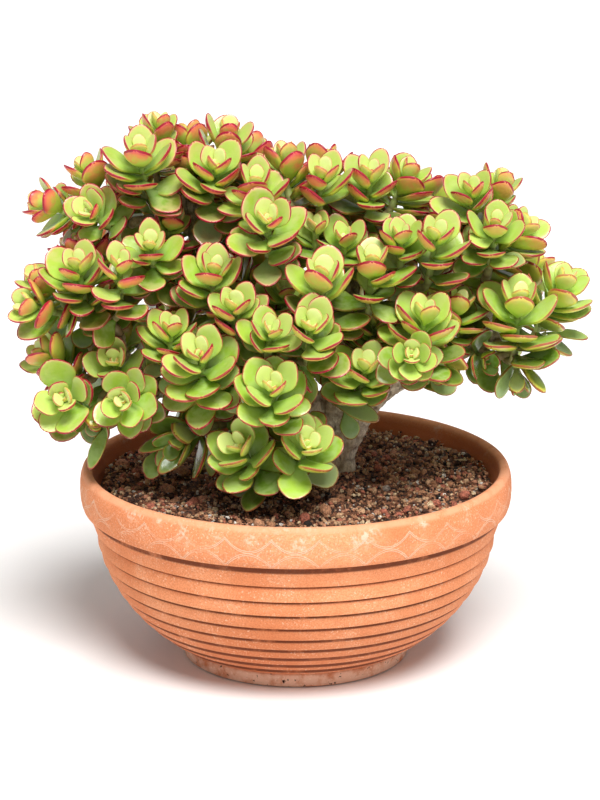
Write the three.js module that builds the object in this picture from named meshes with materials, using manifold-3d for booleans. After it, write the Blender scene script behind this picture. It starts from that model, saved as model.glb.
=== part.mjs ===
// A jade plant grown as a bonsai, in a ribbed terracotta bowl: the bowl, its potting mix, the woody trunk with its
// limbs, and the leafy branches, each one body of green twig and fleshy leaves.
// Millimetres, +Z up. The origin is the middle of the bowl's foot, on the surface that it stands on, -Y is the front.
import * as THREE from "three";
import { mergeVertices } from "three/addons/utils/BufferGeometryUtils.js";
import Module from "manifold-3d";

const wasm = await Module();
wasm.setup();

// ---- driving dimensions -------------------------------------------------------------------------------------------

const GAP = 0.35; // air between two nodes that touch on the real plant

const BOWL = {
  height: 168, // foot to lip
  rimRadius: 185, // the collar's widest
  rimDepth: 34, // the collar's height
  rimStep: 8, // the wall stands back this far under the collar
  lipThickness: 11,
  wall: 11,
  wallRadius: 172.5, // the wall is a quarter ellipse, this wide at wallTop
  wallTop: 127,
  wallDrop: 140, // the ellipse's other half axis
  ribCount: 10,
  ribPitch: 14, // along the wall
  ribStart: -2.4, // the first rib's top, hidden in the collar
  ribStep: 2.2, // each rib overhangs the next one down
  footRadius: 97,
  footHeight: 12,
  floorTop: 17,
  floorRise: 6, // the inside's rounded corner
  floorTurn: 14,
  drainCount: 3,
  drainRadius: 7,
  drainRing: 46, // the drain holes' distance from the middle
  segments: 28,
};

const MIX = {
  level: 151, // at the wall
  mound: 7, // higher at the trunk
  lump: 2.6,
  edgeDip: 4, // at the wall the lumps go down to this much under the level
  wallGap: 1.6, // its sides have fewer facets than the bowl's
  inside: [56, 96, 132], // heights of its side's rings, the bowl's too
  topRings: [1, 0.82, 0.56, 0.28, 0],
  segments: 20,
};

const TRUNK = {
  base: [28, 6, 120], // the buried end, in its pocket in the potting mix
  height: 66,
  lean: [0.05, 0, 1],
  footRadius: 24,
  topRadius: 18,
  sides: 8,
};

// Limbs run from the trunk outwards: the radius at the start and the end, and points of a smooth curve.
const LIMBS = {
  right: { radius: [17, 7], points: [
    [31, 6, 168], [45, 4, 197], [64, 0, 228], [96, -6, 250], [134, -10, 266], [160, -14, 286]] },
  middle: { radius: [17, 6.5], points: [[30, 6, 168], [34, 8, 215], [38, 6, 268], [46, 2, 320], [56, 0, 362]] },
  leftHigh: { radius: [16, 6.5], points: [[28, 6, 168], [8, 6, 220], [-30, 4, 285], [-70, 2, 342], [-98, -2, 402]] },
  leftLow: { radius: [15, 6], points: [
    [26, 4, 168], [-14, -6, 202], [-68, -22, 230], [-120, -30, 246], [-160, -30, 262]] },
  front: { radius: [13, 7], points: [[28, 2, 168], [20, -28, 184], [4, -58, 194]] },
  backRight: { radius: [15, 6.5], points: [[31, 10, 168], [60, 44, 212], [98, 72, 264], [128, 82, 318]] },
  backLeft: { radius: [15, 6.5], points: [[27, 10, 168], [-6, 46, 212], [-58, 74, 264], [-104, 76, 322]] },
};

// A leaf of a rosette: pairs are counted from the youngest, at the tip. Each next pair is turned a quarter.
const PAIRS = {
  length: [0.4, 0.64, 0.86, 1, 1, 0.97, 0.92], // share of the rosette's size
  width: [0.3, 0.33, 0.34, 0.35, 0.36, 0.36, 0.36], // half of it, as a share of the leaf's length
  open: [12, 25, 43, 60, 76, 90, 102], // degrees from the shoot's axis
  drop: [1, 5, 11, 18, 27, 38, 50], // mm down the shoot from its tip, for a rosette of the standard size
  curl: [24, 30, 30, 26, 20, 14, 8], // degrees that the blade curves up along its length
  belowLast: 8, // mm of shoot that a seventh pair takes
};
const YOUNGEST = 1; // pair 0 is the closed bud, too small to tell from the twig's end
const USUAL_PAIRS = 5; // the bud counted
const STANDARD_SIZE = 38;
const LEAF = {
  thickness: 0.18, // share of the length
  widest: 0.64,
  clear: 1.1, // mm of air kept to the leaves of other rosettes
  clearOfStems: 0.6,
};
// Half the width of a square twig: at the fork, where it leaves another twig, under its leaves and at its tip.
const TWIG = { fork: 4.2, side: 2.6, foot: 3.2, tip: 2.1 };
// A leafy branch's woody stem: its radius at the limb, as a share of the limb's, and at the fork. From the fork to
// the leaves it is green, for greenLength.
const STEM = { share: 0.8, thickest: 8.5, tip: 5.2, greenLength: 28 };

// Where a leaf would cross another it is bent up or down the shoot, or grows a little shorter. [degrees, share]
const BENDS = [
  [0, 1], [-12, 1], [12, 1], [-22, 0.95], [20, 0.95], [-8, 0.84], [10, 0.84], [-24, 0.8], [22, 0.76]];

// The rosettes, by leafy branch: the shoot's tip, where it leans to (0 is +X, 90 is +Y) and how far from upright,
// the turn of its first pair, and the length of its longest leaf.
const LEAFY_BRANCHES = [
  { name: "top_left", limb: "leftHigh", from: 0.97, rosettes: [
    { at: [-127, -45, 446], lean: [262, 26], turn: 90, size: 40, pairs: 6 },
    { at: [-114, 5, 458], lean: [60, 8], turn: 30, size: 32 } ] },
  { name: "top_left_inner", limb: "leftHigh", from: 0.9, rosettes: [
    { at: [-66, -44, 434], lean: [285, 30], turn: 50, size: 40, pairs: 6 },
    { at: [-57, -4, 452], lean: [330, 14], turn: 5, size: 38 },
    { at: [-90, 26, 445], lean: [100, 16], turn: 40, size: 32, pairs: 4 } ] },
  { name: "far_left_high", limb: "leftHigh", from: 0.84, rosettes: [
    { at: [-172, -8, 424], lean: [165, 26], turn: 20, size: 34 },
    { at: [-209, -12, 398], lean: [190, 62], turn: 35, size: 33 },
    { at: [-168, -50, 398], lean: [240, 55], turn: 60, size: 33 } ] },
  { name: "left_pocket", limb: "leftHigh", from: 0.72, rosettes: [
    { at: [-118, -72, 374], lean: [265, 38], turn: 90, size: 35 },
    { at: [-104, -22, 382], lean: [300, 30], turn: 10, size: 38 } ] },
  { name: "left_upper", limb: "leftLow", from: 0.8, rosettes: [
    { at: [-178, -68, 356], lean: [255, 24], turn: 60, size: 38, pairs: 6 },
    { at: [-143, -84, 360], lean: [275, 26], turn: 30, size: 39, pairs: 6 } ] },
  { name: "far_left", limb: "leftLow", from: 0.97, rosettes: [
    { at: [-212, -30, 336], lean: [190, 42], turn: 15, size: 35 },
    { at: [-176, -22, 360], lean: [150, 12], turn: 50, size: 34 },
    { at: [-217, -58, 322], lean: [215, 66], turn: 40, size: 38 } ] },
  { name: "left_lower", limb: "leftLow", from: 0.99, rosettes: [
    { at: [-208, -42, 276], lean: [190, 52], turn: 70, size: 34 },
    { at: [-190, -78, 248], lean: [258, 72], turn: 25, size: 41, pairs: 6 } ] },
  { name: "left_front", limb: "leftLow", from: 0.6, rosettes: [
    { at: [-141, -98, 252], lean: [262, 74], turn: 30, size: 33, pairs: 6 },
    { at: [-150, -62, 274], lean: [262, 48], turn: 85, size: 35 } ] },
  { name: "front_left", limb: "leftLow", from: 0.52, rosettes: [
    { at: [-102, -84, 306], lean: [275, 22], turn: 40, size: 33 },
    { at: [-78, -116, 293], lean: [260, 38], turn: 55, size: 43, pairs: 6 } ] },
  { name: "middle_left", limb: "leftHigh", from: 0.5, rosettes: [
    { at: [-66, -82, 355], lean: [280, 26], turn: 75, size: 38 },
    { at: [-50, -104, 330], lean: [268, 32], turn: 45, size: 38, pairs: 6 } ] },
  { name: "middle_front", limb: "middle", from: 0.42, rosettes: [
    { at: [-20, -122, 315], lean: [280, 34], turn: 20, size: 32 },
    { at: [12, -130, 321], lean: [275, 40], turn: 60, size: 40, pairs: 6 } ] },
  { name: "low_middle", limb: "front", from: 0.6, rosettes: [
    { at: [-19, -138, 272], lean: [270, 40], turn: 40, size: 40, pairs: 6 } ] },
  { name: "low_front", limb: "front", from: 0.98, rosettes: [
    { at: [-45, -112, 214], lean: [240, 46], turn: 70, size: 39, pairs: 7 },
    { at: [9, -122, 219], lean: [285, 44], turn: 20, size: 40, pairs: 7 } ] },
  { name: "low_right", limb: "right", from: 0.42, rosettes: [
    { at: [57, -92, 277], lean: [280, 32], turn: 65, size: 38 } ] },
  { name: "right_front", limb: "right", from: 0.7, rosettes: [
    { at: [104, -104, 322], lean: [280, 18], turn: 30, size: 40, pairs: 6 },
    { at: [93, -134, 300], lean: [272, 66], turn: 0, size: 30 },
    { at: [134, -62, 322], lean: [330, 20], turn: 70, size: 33 } ] },
  { name: "right", limb: "right", from: 0.97, rosettes: [
    { at: [183, -74, 328], lean: [280, 15], turn: 85, size: 43, pairs: 6 },
    { at: [220, -38, 334], lean: [345, 26], turn: 5, size: 39, pairs: 7 } ] },
  { name: "under_right", limb: "right", from: 0.5, rosettes: [
    { at: [114, -68, 270], lean: [285, 80], turn: 40, size: 34, pairs: 4 } ] },
  { name: "under_right_outer", limb: "right", from: 0.8, rosettes: [
    { at: [157, -60, 276], lean: [295, 92], turn: 10, size: 35, pairs: 4 } ] },
  { name: "hanging_right", limb: "right", from: 0.84, rosettes: [
    { at: [184, -62, 262], lean: [285, 150], turn: 20, size: 40, pairs: 3 } ] },
  { name: "hanging_left", limb: "leftLow", from: 0.92, rosettes: [
    { at: [-166, -58, 226], lean: [250, 140], turn: 80, size: 42, pairs: 3 } ] },
  { name: "hanging_middle", limb: "leftLow", from: 0.42, rosettes: [
    { at: [-94, -66, 206], lean: [222, 105], turn: 70, size: 44, pairs: 4 } ] },
  { name: "right_high", limb: "backRight", from: 0.98, rosettes: [
    { at: [145, -38, 412], lean: [262, 26], turn: 45, size: 36, pairs: 6 },
    { at: [170, -2, 410], lean: [20, 24], turn: 15, size: 35 } ] },
  { name: "right_shoulder", limb: "right", from: 0.9, rosettes: [
    { at: [163, -66, 390], lean: [278, 28], turn: 80, size: 35, pairs: 6 },
    { at: [187, -32, 380], lean: [350, 40], turn: 35, size: 36 } ] },
  { name: "right_upper", limb: "middle", from: 0.9, rosettes: [
    { at: [114, -84, 384], lean: [285, 26], turn: 50, size: 40, pairs: 6 },
    { at: [86, -70, 380], lean: [270, 22], turn: 20, size: 33 } ] },
  { name: "middle_right", limb: "middle", from: 0.72, rosettes: [
    { at: [40, -52, 374], lean: [270, 24], turn: 25, size: 36 },
    { at: [62, -86, 362], lean: [278, 20], turn: 85, size: 40, pairs: 6 } ] },
  { name: "middle_crown", limb: "middle", from: 0.6, rosettes: [
    { at: [22, -104, 355], lean: [268, 18], turn: 80, size: 43, pairs: 6 } ] },
  { name: "crown_left", limb: "middle", from: 0.86, rosettes: [
    { at: [-22, -94, 400], lean: [270, 40], turn: 35, size: 40, pairs: 6 },
    { at: [-32, -56, 422], lean: [265, 22], turn: 80, size: 38 } ] },
  { name: "crown_middle", limb: "middle", from: 0.98, rosettes: [
    { at: [-8, -24, 436], lean: [120, 10], turn: 20, size: 36 },
    { at: [22, -46, 427], lean: [280, 24], turn: 60, size: 39, pairs: 6 } ] },
  { name: "crown_right", limb: "middle", from: 0.99, rosettes: [
    { at: [61, -30, 424], lean: [275, 20], turn: 50, size: 38 },
    { at: [92, -8, 420], lean: [350, 24], turn: 10, size: 35 },
    { at: [100, 28, 404], lean: [60, 22], turn: 60, size: 34, pairs: 4 } ] },
  { name: "back_left_high", limb: "backLeft", from: 0.98, rosettes: [
    { at: [-140, 44, 408], lean: [150, 26], turn: 30, size: 36, pairs: 4 },
    { at: [-104, 78, 400], lean: [100, 30], turn: 75, size: 39, pairs: 4 } ] },
  { name: "back_far_left", limb: "backLeft", from: 0.9, rosettes: [
    { at: [-186, 34, 350], lean: [165, 46], turn: 20, size: 38, pairs: 4 },
    { at: [-158, 84, 336], lean: [130, 50], turn: 60, size: 39, pairs: 4 } ] },
  { name: "back_low_left", limb: "backLeft", from: 0.55, rosettes: [
    { at: [-164, 52, 276], lean: [155, 62], turn: 45, size: 36, pairs: 4 },
    { at: [-110, 118, 276], lean: [110, 62], turn: 0, size: 40, pairs: 4 } ] },
  { name: "back_crown", limb: "backLeft", from: 0.75, rosettes: [
    { at: [-40, 40, 430], lean: [95, 18], turn: 45, size: 38, pairs: 4 },
    { at: [-52, 92, 384], lean: [95, 42], turn: 10, size: 40, pairs: 4 } ] },
  { name: "back_middle", limb: "middle", from: 0.8, rosettes: [
    { at: [22, 22, 424], lean: [90, 14], turn: 70, size: 36, pairs: 4 },
    { at: [8, 88, 392], lean: [90, 36], turn: 30, size: 40, pairs: 4 } ] },
  { name: "back_low", limb: "backLeft", from: 0.4, rosettes: [
    { at: [-44, 136, 318], lean: [100, 56], turn: 55, size: 40, pairs: 4 },
    { at: [-14, 132, 250], lean: [95, 76], turn: 25, size: 36, pairs: 4 } ] },
  { name: "back_low_right", limb: "backRight", from: 0.5, rosettes: [
    { at: [32, 130, 286], lean: [92, 62], turn: 35, size: 35, pairs: 4 },
    { at: [108, 106, 276], lean: [50, 64], turn: 70, size: 35, pairs: 4 } ] },
  { name: "back_right_high", limb: "backRight", from: 0.9, rosettes: [
    { at: [60, 62, 400], lean: [80, 28], turn: 0, size: 38, pairs: 4 },
    { at: [128, 58, 384], lean: [40, 32], turn: 50, size: 38, pairs: 4 } ] },
  { name: "back_right", limb: "backRight", from: 0.75, rosettes: [
    { at: [74, 122, 336], lean: [75, 50], turn: 80, size: 40, pairs: 4 },
    { at: [140, 104, 322], lean: [45, 52], turn: 25, size: 39, pairs: 4 } ] },
  { name: "back_far_right", limb: "right", from: 0.8, rosettes: [
    { at: [200, 26, 334], lean: [20, 46], turn: 60, size: 39, pairs: 4 },
    { at: [184, 64, 300], lean: [40, 64], turn: 5, size: 36, pairs: 4 } ] },
  { name: "inner_middle", limb: "middle", from: 0.5, rosettes: [
    { at: [-9, -56, 331], lean: [270, 30], turn: 15, size: 33, pairs: 4 } ] },
  { name: "inner_right", limb: "right", from: 0.36, rosettes: [
    { at: [66, -46, 302], lean: [285, 25], turn: 40, size: 33, pairs: 4 } ] },
  { name: "inner_right_outer", limb: "right", from: 0.74, rosettes: [
    { at: [136, -44, 316], lean: [300, 20], turn: 75, size: 32, pairs: 4 } ] },
  { name: "inner_crown", limb: "middle", from: 0.78, rosettes: [
    { at: [16, -50, 384], lean: [265, 24], turn: 50, size: 32, pairs: 4 } ] },
];

const COLOUR = {
  clay: 0xc97a50,
  mix: 0x3d2b21,
  bark: 0x7d6a55,
  leaf: 0x86ad3f,
};

// ---- solids -------------------------------------------------------------------------------------------------------

const vector = (p) => new THREE.Vector3(...p);
const radians = THREE.MathUtils.degToRad;

function closedGeometry(points, faces) {
  const geometry = new THREE.BufferGeometry();
  geometry.setAttribute("position", new THREE.Float32BufferAttribute(points.flatMap((p) => [p.x, p.y, p.z]), 3));
  geometry.setIndex(faces.flat());
  return geometry;
}

function solidOf(geometry) {
  const bare = geometry.clone();
  bare.deleteAttribute("normal");
  bare.deleteAttribute("uv");
  const merged = mergeVertices(bare, 1e-4);
  return new wasm.Manifold(new wasm.Mesh({
    numProp: 3,
    vertProperties: new Float32Array(merged.attributes.position.array),
    triVerts: new Uint32Array(merged.index.array),
  }));
}

function geometryOf(solid) {
  const mesh = solid.getMesh();
  const geometry = new THREE.BufferGeometry();
  geometry.setAttribute("position", new THREE.BufferAttribute(new Float32Array(mesh.vertProperties), 3));
  geometry.setIndex(new THREE.BufferAttribute(new Uint32Array(mesh.triVerts), 1));
  return geometry;
}

// The largest of a solid's separate bodies: a scrap left loose by a cut is dropped.
function wholeOf(solid) {
  const bodies = solid.decompose();
  return bodies.reduce((best, body) => (body.volume() > best.volume() ? body : best), bodies[0]);
}

// A closed tube along a curve, its radius going from one value to another.
function taperedTube(curve, radiusAt, steps, sides) {
  const frames = curve.computeFrenetFrames(steps, false);
  const points = [];
  const faces = [];
  for (let i = 0; i <= steps; i++) {
    const middle = curve.getPointAt(i / steps);
    const radius = radiusAt(i / steps);
    for (let k = 0; k < sides; k++) {
      const turn = (2 * Math.PI * k) / sides;
      points.push(middle.clone()
        .addScaledVector(frames.normals[i], radius * Math.cos(turn))
        .addScaledVector(frames.binormals[i], radius * Math.sin(turn)));
    }
  }
  const ringAt = (i, k) => i * sides + (k % sides);
  for (let i = 0; i < steps; i++) {
    for (let k = 0; k < sides; k++) {
      faces.push([ringAt(i, k), ringAt(i, k + 1), ringAt(i + 1, k + 1)]);
      faces.push([ringAt(i, k), ringAt(i + 1, k + 1), ringAt(i + 1, k)]);
    }
  }
  for (let k = 1; k < sides - 1; k++) {
    faces.push([ringAt(0, 0), ringAt(0, k + 1), ringAt(0, k)]);
    faces.push([ringAt(steps, 0), ringAt(steps, k), ringAt(steps, k + 1)]);
  }
  return solidOf(closedGeometry(points, faces));
}

const taper = (radius) => (t) => radius[0] + (radius[1] - radius[0]) * t;

// ---- the bowl and its potting mix ---------------------------------------------------------------------------------

// The wall's outer line: [radius, height] at a distance down the quarter ellipse from its top.
function wallPoint(distance) {
  let angle = 0;
  let gone = 0;
  const step = 0.002;
  while (gone < distance) {
    gone += step * Math.hypot(BOWL.wallRadius * Math.sin(angle), BOWL.wallDrop * Math.cos(angle));
    angle += step;
  }
  return [BOWL.wallRadius * Math.cos(angle), BOWL.wallTop - BOWL.wallDrop * Math.sin(angle)];
}

const insideRadius = (z) => {
  const below = Math.max(0, BOWL.wallTop - z) / BOWL.wallDrop;
  return BOWL.wallRadius * Math.sqrt(1 - below * below) - BOWL.wall;
};

function bowlProfile() {
  const rimBottom = BOWL.height - BOWL.rimDepth;
  const outside = [
    [0, 0],
    [BOWL.footRadius, 0],
    [BOWL.footRadius + 1.5, BOWL.footHeight],
  ];
  const ribs = [];
  for (let i = 0; i < BOWL.ribCount; i++) {
    const distance = BOWL.ribPitch * i + BOWL.ribStart;
    const [topRadius, topHeight] = i === 0
      ? [BOWL.rimRadius - BOWL.rimStep, rimBottom]
      : wallPoint(distance);
    const [edgeRadius, edgeHeight] = wallPoint(distance + BOWL.ribPitch);
    const backRadius = i === 0 ? topRadius : topRadius - BOWL.ribStep;
    ribs.push([edgeRadius + BOWL.ribStep * 0.3, edgeHeight], [backRadius, topHeight]);
  }
  const lowest = ribs[ribs.length - 2];
  lowest[1] = Math.max(lowest[1], BOWL.footHeight + 2);
  for (let i = BOWL.ribCount - 1; i >= 0; i--) outside.push(ribs[2 * i], ribs[2 * i + 1]);
  const lipInner = BOWL.rimRadius - BOWL.lipThickness;
  const collar = [
    [BOWL.rimRadius - 2.5, rimBottom],
    [BOWL.rimRadius, rimBottom + 8],
    [BOWL.rimRadius, BOWL.height - 9],
    [BOWL.rimRadius - 5, BOWL.height],
    [lipInner + 1, BOWL.height - 1],
    [lipInner, BOWL.height - 5],
  ];
  const corner = BOWL.floorTop + BOWL.floorRise;
  const inside = [corner, ...MIX.inside].reverse().map((z) => [insideRadius(z), z]);
  inside.push([insideRadius(corner) - BOWL.floorTurn, BOWL.floorTop]);
  return [...outside, ...collar, ...inside, [0, BOWL.floorTop]];
}

// The profile runs from the axis out and up, and back to the axis.
function latheGeometry(profile, segments) {
  const geometry = new THREE.LatheGeometry(profile.map(([r, z]) => new THREE.Vector2(r, z)), segments);
  return geometry.rotateX(Math.PI / 2);
}

function bowlSolid() {
  const holes = Array.from({ length: BOWL.drainCount }, (_, i) => {
    const turn = (2 * Math.PI * i) / BOWL.drainCount + 0.5;
    const drill = new THREE.CylinderGeometry(BOWL.drainRadius, BOWL.drainRadius, 3 * BOWL.floorTop, 10);
    drill.rotateX(Math.PI / 2);
    drill.translate(BOWL.drainRing * Math.cos(turn), BOWL.drainRing * Math.sin(turn), 0);
    return solidOf(drill);
  });
  return solidOf(latheGeometry(bowlProfile(), BOWL.segments)).subtract(wasm.Manifold.union(holes));
}

// The inside of the bowl widens in a straight line from the highest of its rings to just under the lip.
function wallRadiusUnderLip(z) {
  const from = Math.max(...MIX.inside);
  const share = (z - from) / (BOWL.height - 5 - from);
  return insideRadius(from) + (BOWL.rimRadius - BOWL.lipThickness - insideRadius(from)) * share;
}

// Height of the mix: it rises towards the trunk and is lumpy all over.
function mixHeight(x, y) {
  const away = Math.hypot(x - TRUNK.base[0], y - TRUNK.base[1]);
  const mound = MIX.mound * Math.exp(-Math.pow(away / 95, 2));
  const lumps = Math.sin(x * 0.093 + 1.3) * Math.cos(y * 0.11 - 0.4) + 0.6 * Math.sin(x * 0.21 - y * 0.17);
  return MIX.level + mound + MIX.lump * lumps;
}

function mixSolid() {
  const floor = BOWL.floorTop + GAP;
  const corner = BOWL.floorTop + BOWL.floorRise;
  const sides = [corner + 1, ...MIX.inside].map((z) => [insideRadius(z) - MIX.wallGap, z]);
  const topRadius = wallRadiusUnderLip(MIX.level - MIX.edgeDip) - MIX.wallGap;
  const geometry = latheGeometry([
    [0, floor],
    [insideRadius(corner) - BOWL.floorTurn - 1, floor],
    ...sides,
    ...MIX.topRings.map((share) => [topRadius * share, MIX.level]),
  ], MIX.segments);
  const place = geometry.attributes.position;
  for (let i = 0; i < place.count; i++) {
    if (place.getZ(i) > MIX.level - 1) place.setZ(i, mixHeight(place.getX(i), place.getY(i)));
  }
  return solidOf(geometry);
}

// ---- the shape of the plant ---------------------------------------------------------------------------------------

const limbCurves = Object.fromEntries(
  Object.entries(LIMBS).map(([name, limb]) => [name, new THREE.CatmullRomCurve3(limb.points.map(vector))]));

// A fixed draw in -1..1 for one leaf, the same on every run.
function draw(rosette, pair, side, channel) {
  const wave = Math.sin(rosette * 12.9898 + pair * 78.233 + side * 37.719 + channel * 4.581) * 43758.5453;
  return 2 * (wave - Math.floor(wave)) - 1;
}

function axisOf(lean) {
  const [azimuth, tilt] = lean.map(radians);
  return new THREE.Vector3(
    Math.sin(tilt) * Math.cos(azimuth), Math.sin(tilt) * Math.sin(azimuth), Math.cos(tilt));
}

// A vector turned square to an axis, at unit length.
const squared = (v, axis) => v.clone().addScaledVector(axis, -v.dot(axis)).normalize();

// A shoot: the rosette's axis, the way that its even pairs look and the way that its odd pairs look, and the heights
// on the shoot between its pairs, from the tip down.
function shootOf(rosette, number) {
  const axis = axisOf(rosette.lean);
  const across = squared(new THREE.Vector3(1, 0, 0), axis).applyAxisAngle(axis, radians(rosette.turn));
  const onward = new THREE.Vector3().crossVectors(axis, across);
  const scale = rosette.size / STANDARD_SIZE;
  const tip = vector(rosette.at);
  const pairs = rosette.pairs ?? USUAL_PAIRS;
  const levels = [1.5];
  for (let pair = YOUNGEST; pair < pairs; pair++) {
    const next = PAIRS.drop[pair + 1] ?? PAIRS.drop[pair] + PAIRS.belowLast;
    levels.push((PAIRS.drop[pair] + next) / 2);
  }
  const foot = tip.clone().addScaledVector(axis, -levels[levels.length - 1] * scale);
  return { number, size: rosette.size, scale, pairs, axis, across, onward, tip, levels, foot };
}

// A leafy branch: the woody stem from its limb to the fork, and from there a green twig to each rosette.
function branchOf({ name, limb, from, rosettes }, firstNumber) {
  const curve = limbCurves[limb];
  const start = curve.getPointAt(from);
  const along = curve.getTangentAt(from);
  const shoots = rosettes.map((rosette, i) => shootOf(rosette, firstNumber + i));
  const middle = new THREE.Vector3();
  for (const shoot of shoots) middle.addScaledVector(shoot.foot, 1 / shoots.length);
  const reach = middle.distanceTo(start);
  const limbRadius = taper(LIMBS[limb].radius)(from);
  const fork = middle.clone().lerp(start, Math.min(0.6, STEM.greenLength / reach, 1 - (limbRadius + 7) / reach));
  const bow = start.clone().addScaledVector(along, reach * 0.3);
  const wood = new THREE.QuadraticBezierCurve3(start, bow, fork);
  const heading = wood.getTangent(1);
  shoots.forEach((shoot, i) => {
    const sprout = fork.clone().lerp(shoots[0].foot, i === 0 ? 0 : 0.12 + 0.16 * i);
    const straight = shoot.foot.clone().sub(sprout).normalize();
    const away = i === 0 ? heading : shoots[0].twig.getTangent(0.3).lerp(straight, 0.6);
    const pull = sprout.distanceTo(shoot.foot) * 0.4;
    shoot.startWidth = i === 0 ? TWIG.fork : TWIG.side;
    shoot.twig = new THREE.CubicBezierCurve3(
      sprout.clone(),
      sprout.clone().addScaledVector(away, pull),
      shoot.foot.clone().addScaledVector(shoot.axis, -pull),
      shoot.foot.clone());
  });
  const radius = [Math.min(limbRadius * STEM.share, STEM.thickest), STEM.tip];
  return { name: "leafy_branch_" + name, wood, fork, heading, shoots, radius };
}

const branches = [];
for (const branch of LEAFY_BRANCHES) {
  branches.push(branchOf(branch, branches.reduce((count, each) => count + each.shoots.length, 0)));
}
const shoots = branches.flatMap((branch) => branch.shoots);

// Half the width of a leaf at a share of its length, as a share of its widest.
function outline(u) {
  if (u > LEAF.widest) {
    const past = (u - LEAF.widest) / (1 - LEAF.widest);
    return Math.sqrt(Math.max(0, 1 - past * past));
  }
  const t = u / LEAF.widest;
  return 0.17 + 0.83 * t * t * (3 - 2 * t);
}

function leafOf(shoot, pair, side, bend, shrink) {
  const { number, axis, across, onward, tip, size, scale } = shoot;
  const turn = radians(90 * pair + 180 * side + 6 * draw(number, pair, side, 1));
  const open = radians(PAIRS.open[pair] + 4 * draw(number, pair, side, 2) + bend * Math.min(1, pair / 3));
  const roll = radians(7 * draw(number, pair, side, 4));
  const length = size * PAIRS.length[pair] * (1 + 0.07 * draw(number, pair, side, 3)) * shrink;
  const outwards = across.clone().multiplyScalar(Math.cos(turn)).addScaledVector(onward, Math.sin(turn));
  const direction = axis.clone().multiplyScalar(Math.cos(open)).addScaledVector(outwards, Math.sin(open));
  const up = squared(axis, direction).applyAxisAngle(direction, roll);
  return {
    shoot, pair, side, length, direction, up,
    base: tip.clone().addScaledVector(axis, -PAIRS.drop[pair] * scale),
    right: new THREE.Vector3().crossVectors(up, direction),
    halfWidth: length * PAIRS.width[pair] * (1 + 0.08 * draw(number, pair, side, 5)),
    thickness: size * LEAF.thickness * (0.6 + 0.4 * PAIRS.length[pair]),
    curl: radians(PAIRS.curl[pair]),
  };
}

// A point of the leaf: a share of its length, a share of its half width there, and a height off its middle.
function leafPoint(leaf, u, v, height) {
  const lift = leaf.length * leaf.curl * u * u * 0.5;
  const cup = 0.14 * leaf.halfWidth * v * v * outline(u);
  return leaf.base.clone()
    .addScaledVector(leaf.direction, leaf.length * u * (1 - leaf.curl * leaf.curl * u * u / 6))
    .addScaledVector(leaf.right, leaf.halfWidth * outline(u) * v)
    .addScaledVector(leaf.up, lift + cup + height);
}

function leafHolds(leaf, point, clear) {
  const from = point.clone().sub(leaf.base);
  const u = from.dot(leaf.direction) / leaf.length;
  if (u < 0.12 || u > 1 + clear / leaf.length) return false;
  const inside = Math.min(u, 1);
  const height = from.dot(leaf.up) - leaf.length * leaf.curl * inside * inside * 0.5;
  if (Math.abs(height) > leaf.thickness * 0.5 + clear) return false;
  return Math.abs(from.dot(leaf.right)) < leaf.halfWidth * outline(inside) + clear;
}

// Where a leaf is felt for others: along its middle and its two edges.
function feelersOf(leaf) {
  const feelers = [0.35, 0.6, 0.84, 1].map((u) => leafPoint(leaf, u, 0, 0));
  for (const u of [0.5, 0.7, 0.88]) feelers.push(leafPoint(leaf, u, -1, 0), leafPoint(leaf, u, 1, 0));
  return feelers;
}

function leavesCross(a, b) {
  if (a.base.distanceTo(b.base) > a.length + b.length + 4) return false;
  const clear = a.shoot === b.shoot ? 0 : LEAF.clear;
  return a.feelers.some((p) => leafHolds(b, p, clear)) || b.feelers.some((p) => leafHolds(a, p, clear));
}

function hitsBowlOrMix(point) {
  const radius = Math.hypot(point.x, point.y);
  if (point.z > BOWL.height + 2 || radius > BOWL.rimRadius + 3) return false;
  if (radius > BOWL.rimRadius - BOWL.lipThickness - 5) return true;
  return point.z < mixHeight(point.x, point.y) + 2.5;
}

// Points down the middle of every stem, with its radius there and the shoot that it belongs to.
function stemPointsOf(curve, radiusAt, steps, shoot) {
  return Array.from({ length: steps + 1 }, (_, i) => (
    { point: curve.getPointAt(i / steps), radius: radiusAt(i / steps), shoot }));
}

const stemPoints = [
  ...Object.entries(limbCurves).flatMap(([name, curve]) => stemPointsOf(curve, taper(LIMBS[name].radius), 40, null)),
  ...branches.flatMap((branch) => stemPointsOf(branch.wood, taper(branch.radius), 16, null)),
  ...shoots.flatMap((shoot) => stemPointsOf(shoot.twig, () => TWIG.fork, 10, shoot)),
  ...shoots.flatMap((shoot) => stemPointsOf(new THREE.LineCurve3(shoot.foot, shoot.tip), () => TWIG.foot, 6, shoot)),
];

const leafMeetsStem = (leaf) => stemPoints.some(({ point, radius, shoot }) => (
  shoot !== leaf.shoot && leafHolds(leaf, point, radius + LEAF.clearOfStems)));

const leafIsClear = (leaf, leaves) => !leaf.feelers.some(hitsBowlOrMix)
  && !leaves.some((other) => leavesCross(leaf, other)) && !leafMeetsStem(leaf);

// The leaves, the youngest pairs first: each takes the first bend that keeps it clear, or is left out.
function placeLeaves() {
  const leaves = [];
  for (let pair = YOUNGEST; pair < PAIRS.drop.length; pair++) {
    for (const shoot of shoots.filter((each) => pair < each.pairs)) {
      for (const side of [0, 1]) {
        for (const [bend, shrink] of BENDS) {
          const leaf = leafOf(shoot, pair, side, bend, shrink);
          leaf.feelers = feelersOf(leaf);
          if (!leafIsClear(leaf, leaves)) continue;
          leaves.push(leaf);
          break;
        }
      }
    }
  }
  return leaves;
}

// ---- the plant's solids -------------------------------------------------------------------------------------------

const CORNERS = [[1, 1], [-1, 1], [-1, -1], [1, -1]];

const squareRing = (middle, across, onward, half) => CORNERS.map(([a, b]) => (
  middle.clone().addScaledVector(across, half * a).addScaledVector(onward, half * b)));

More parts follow.
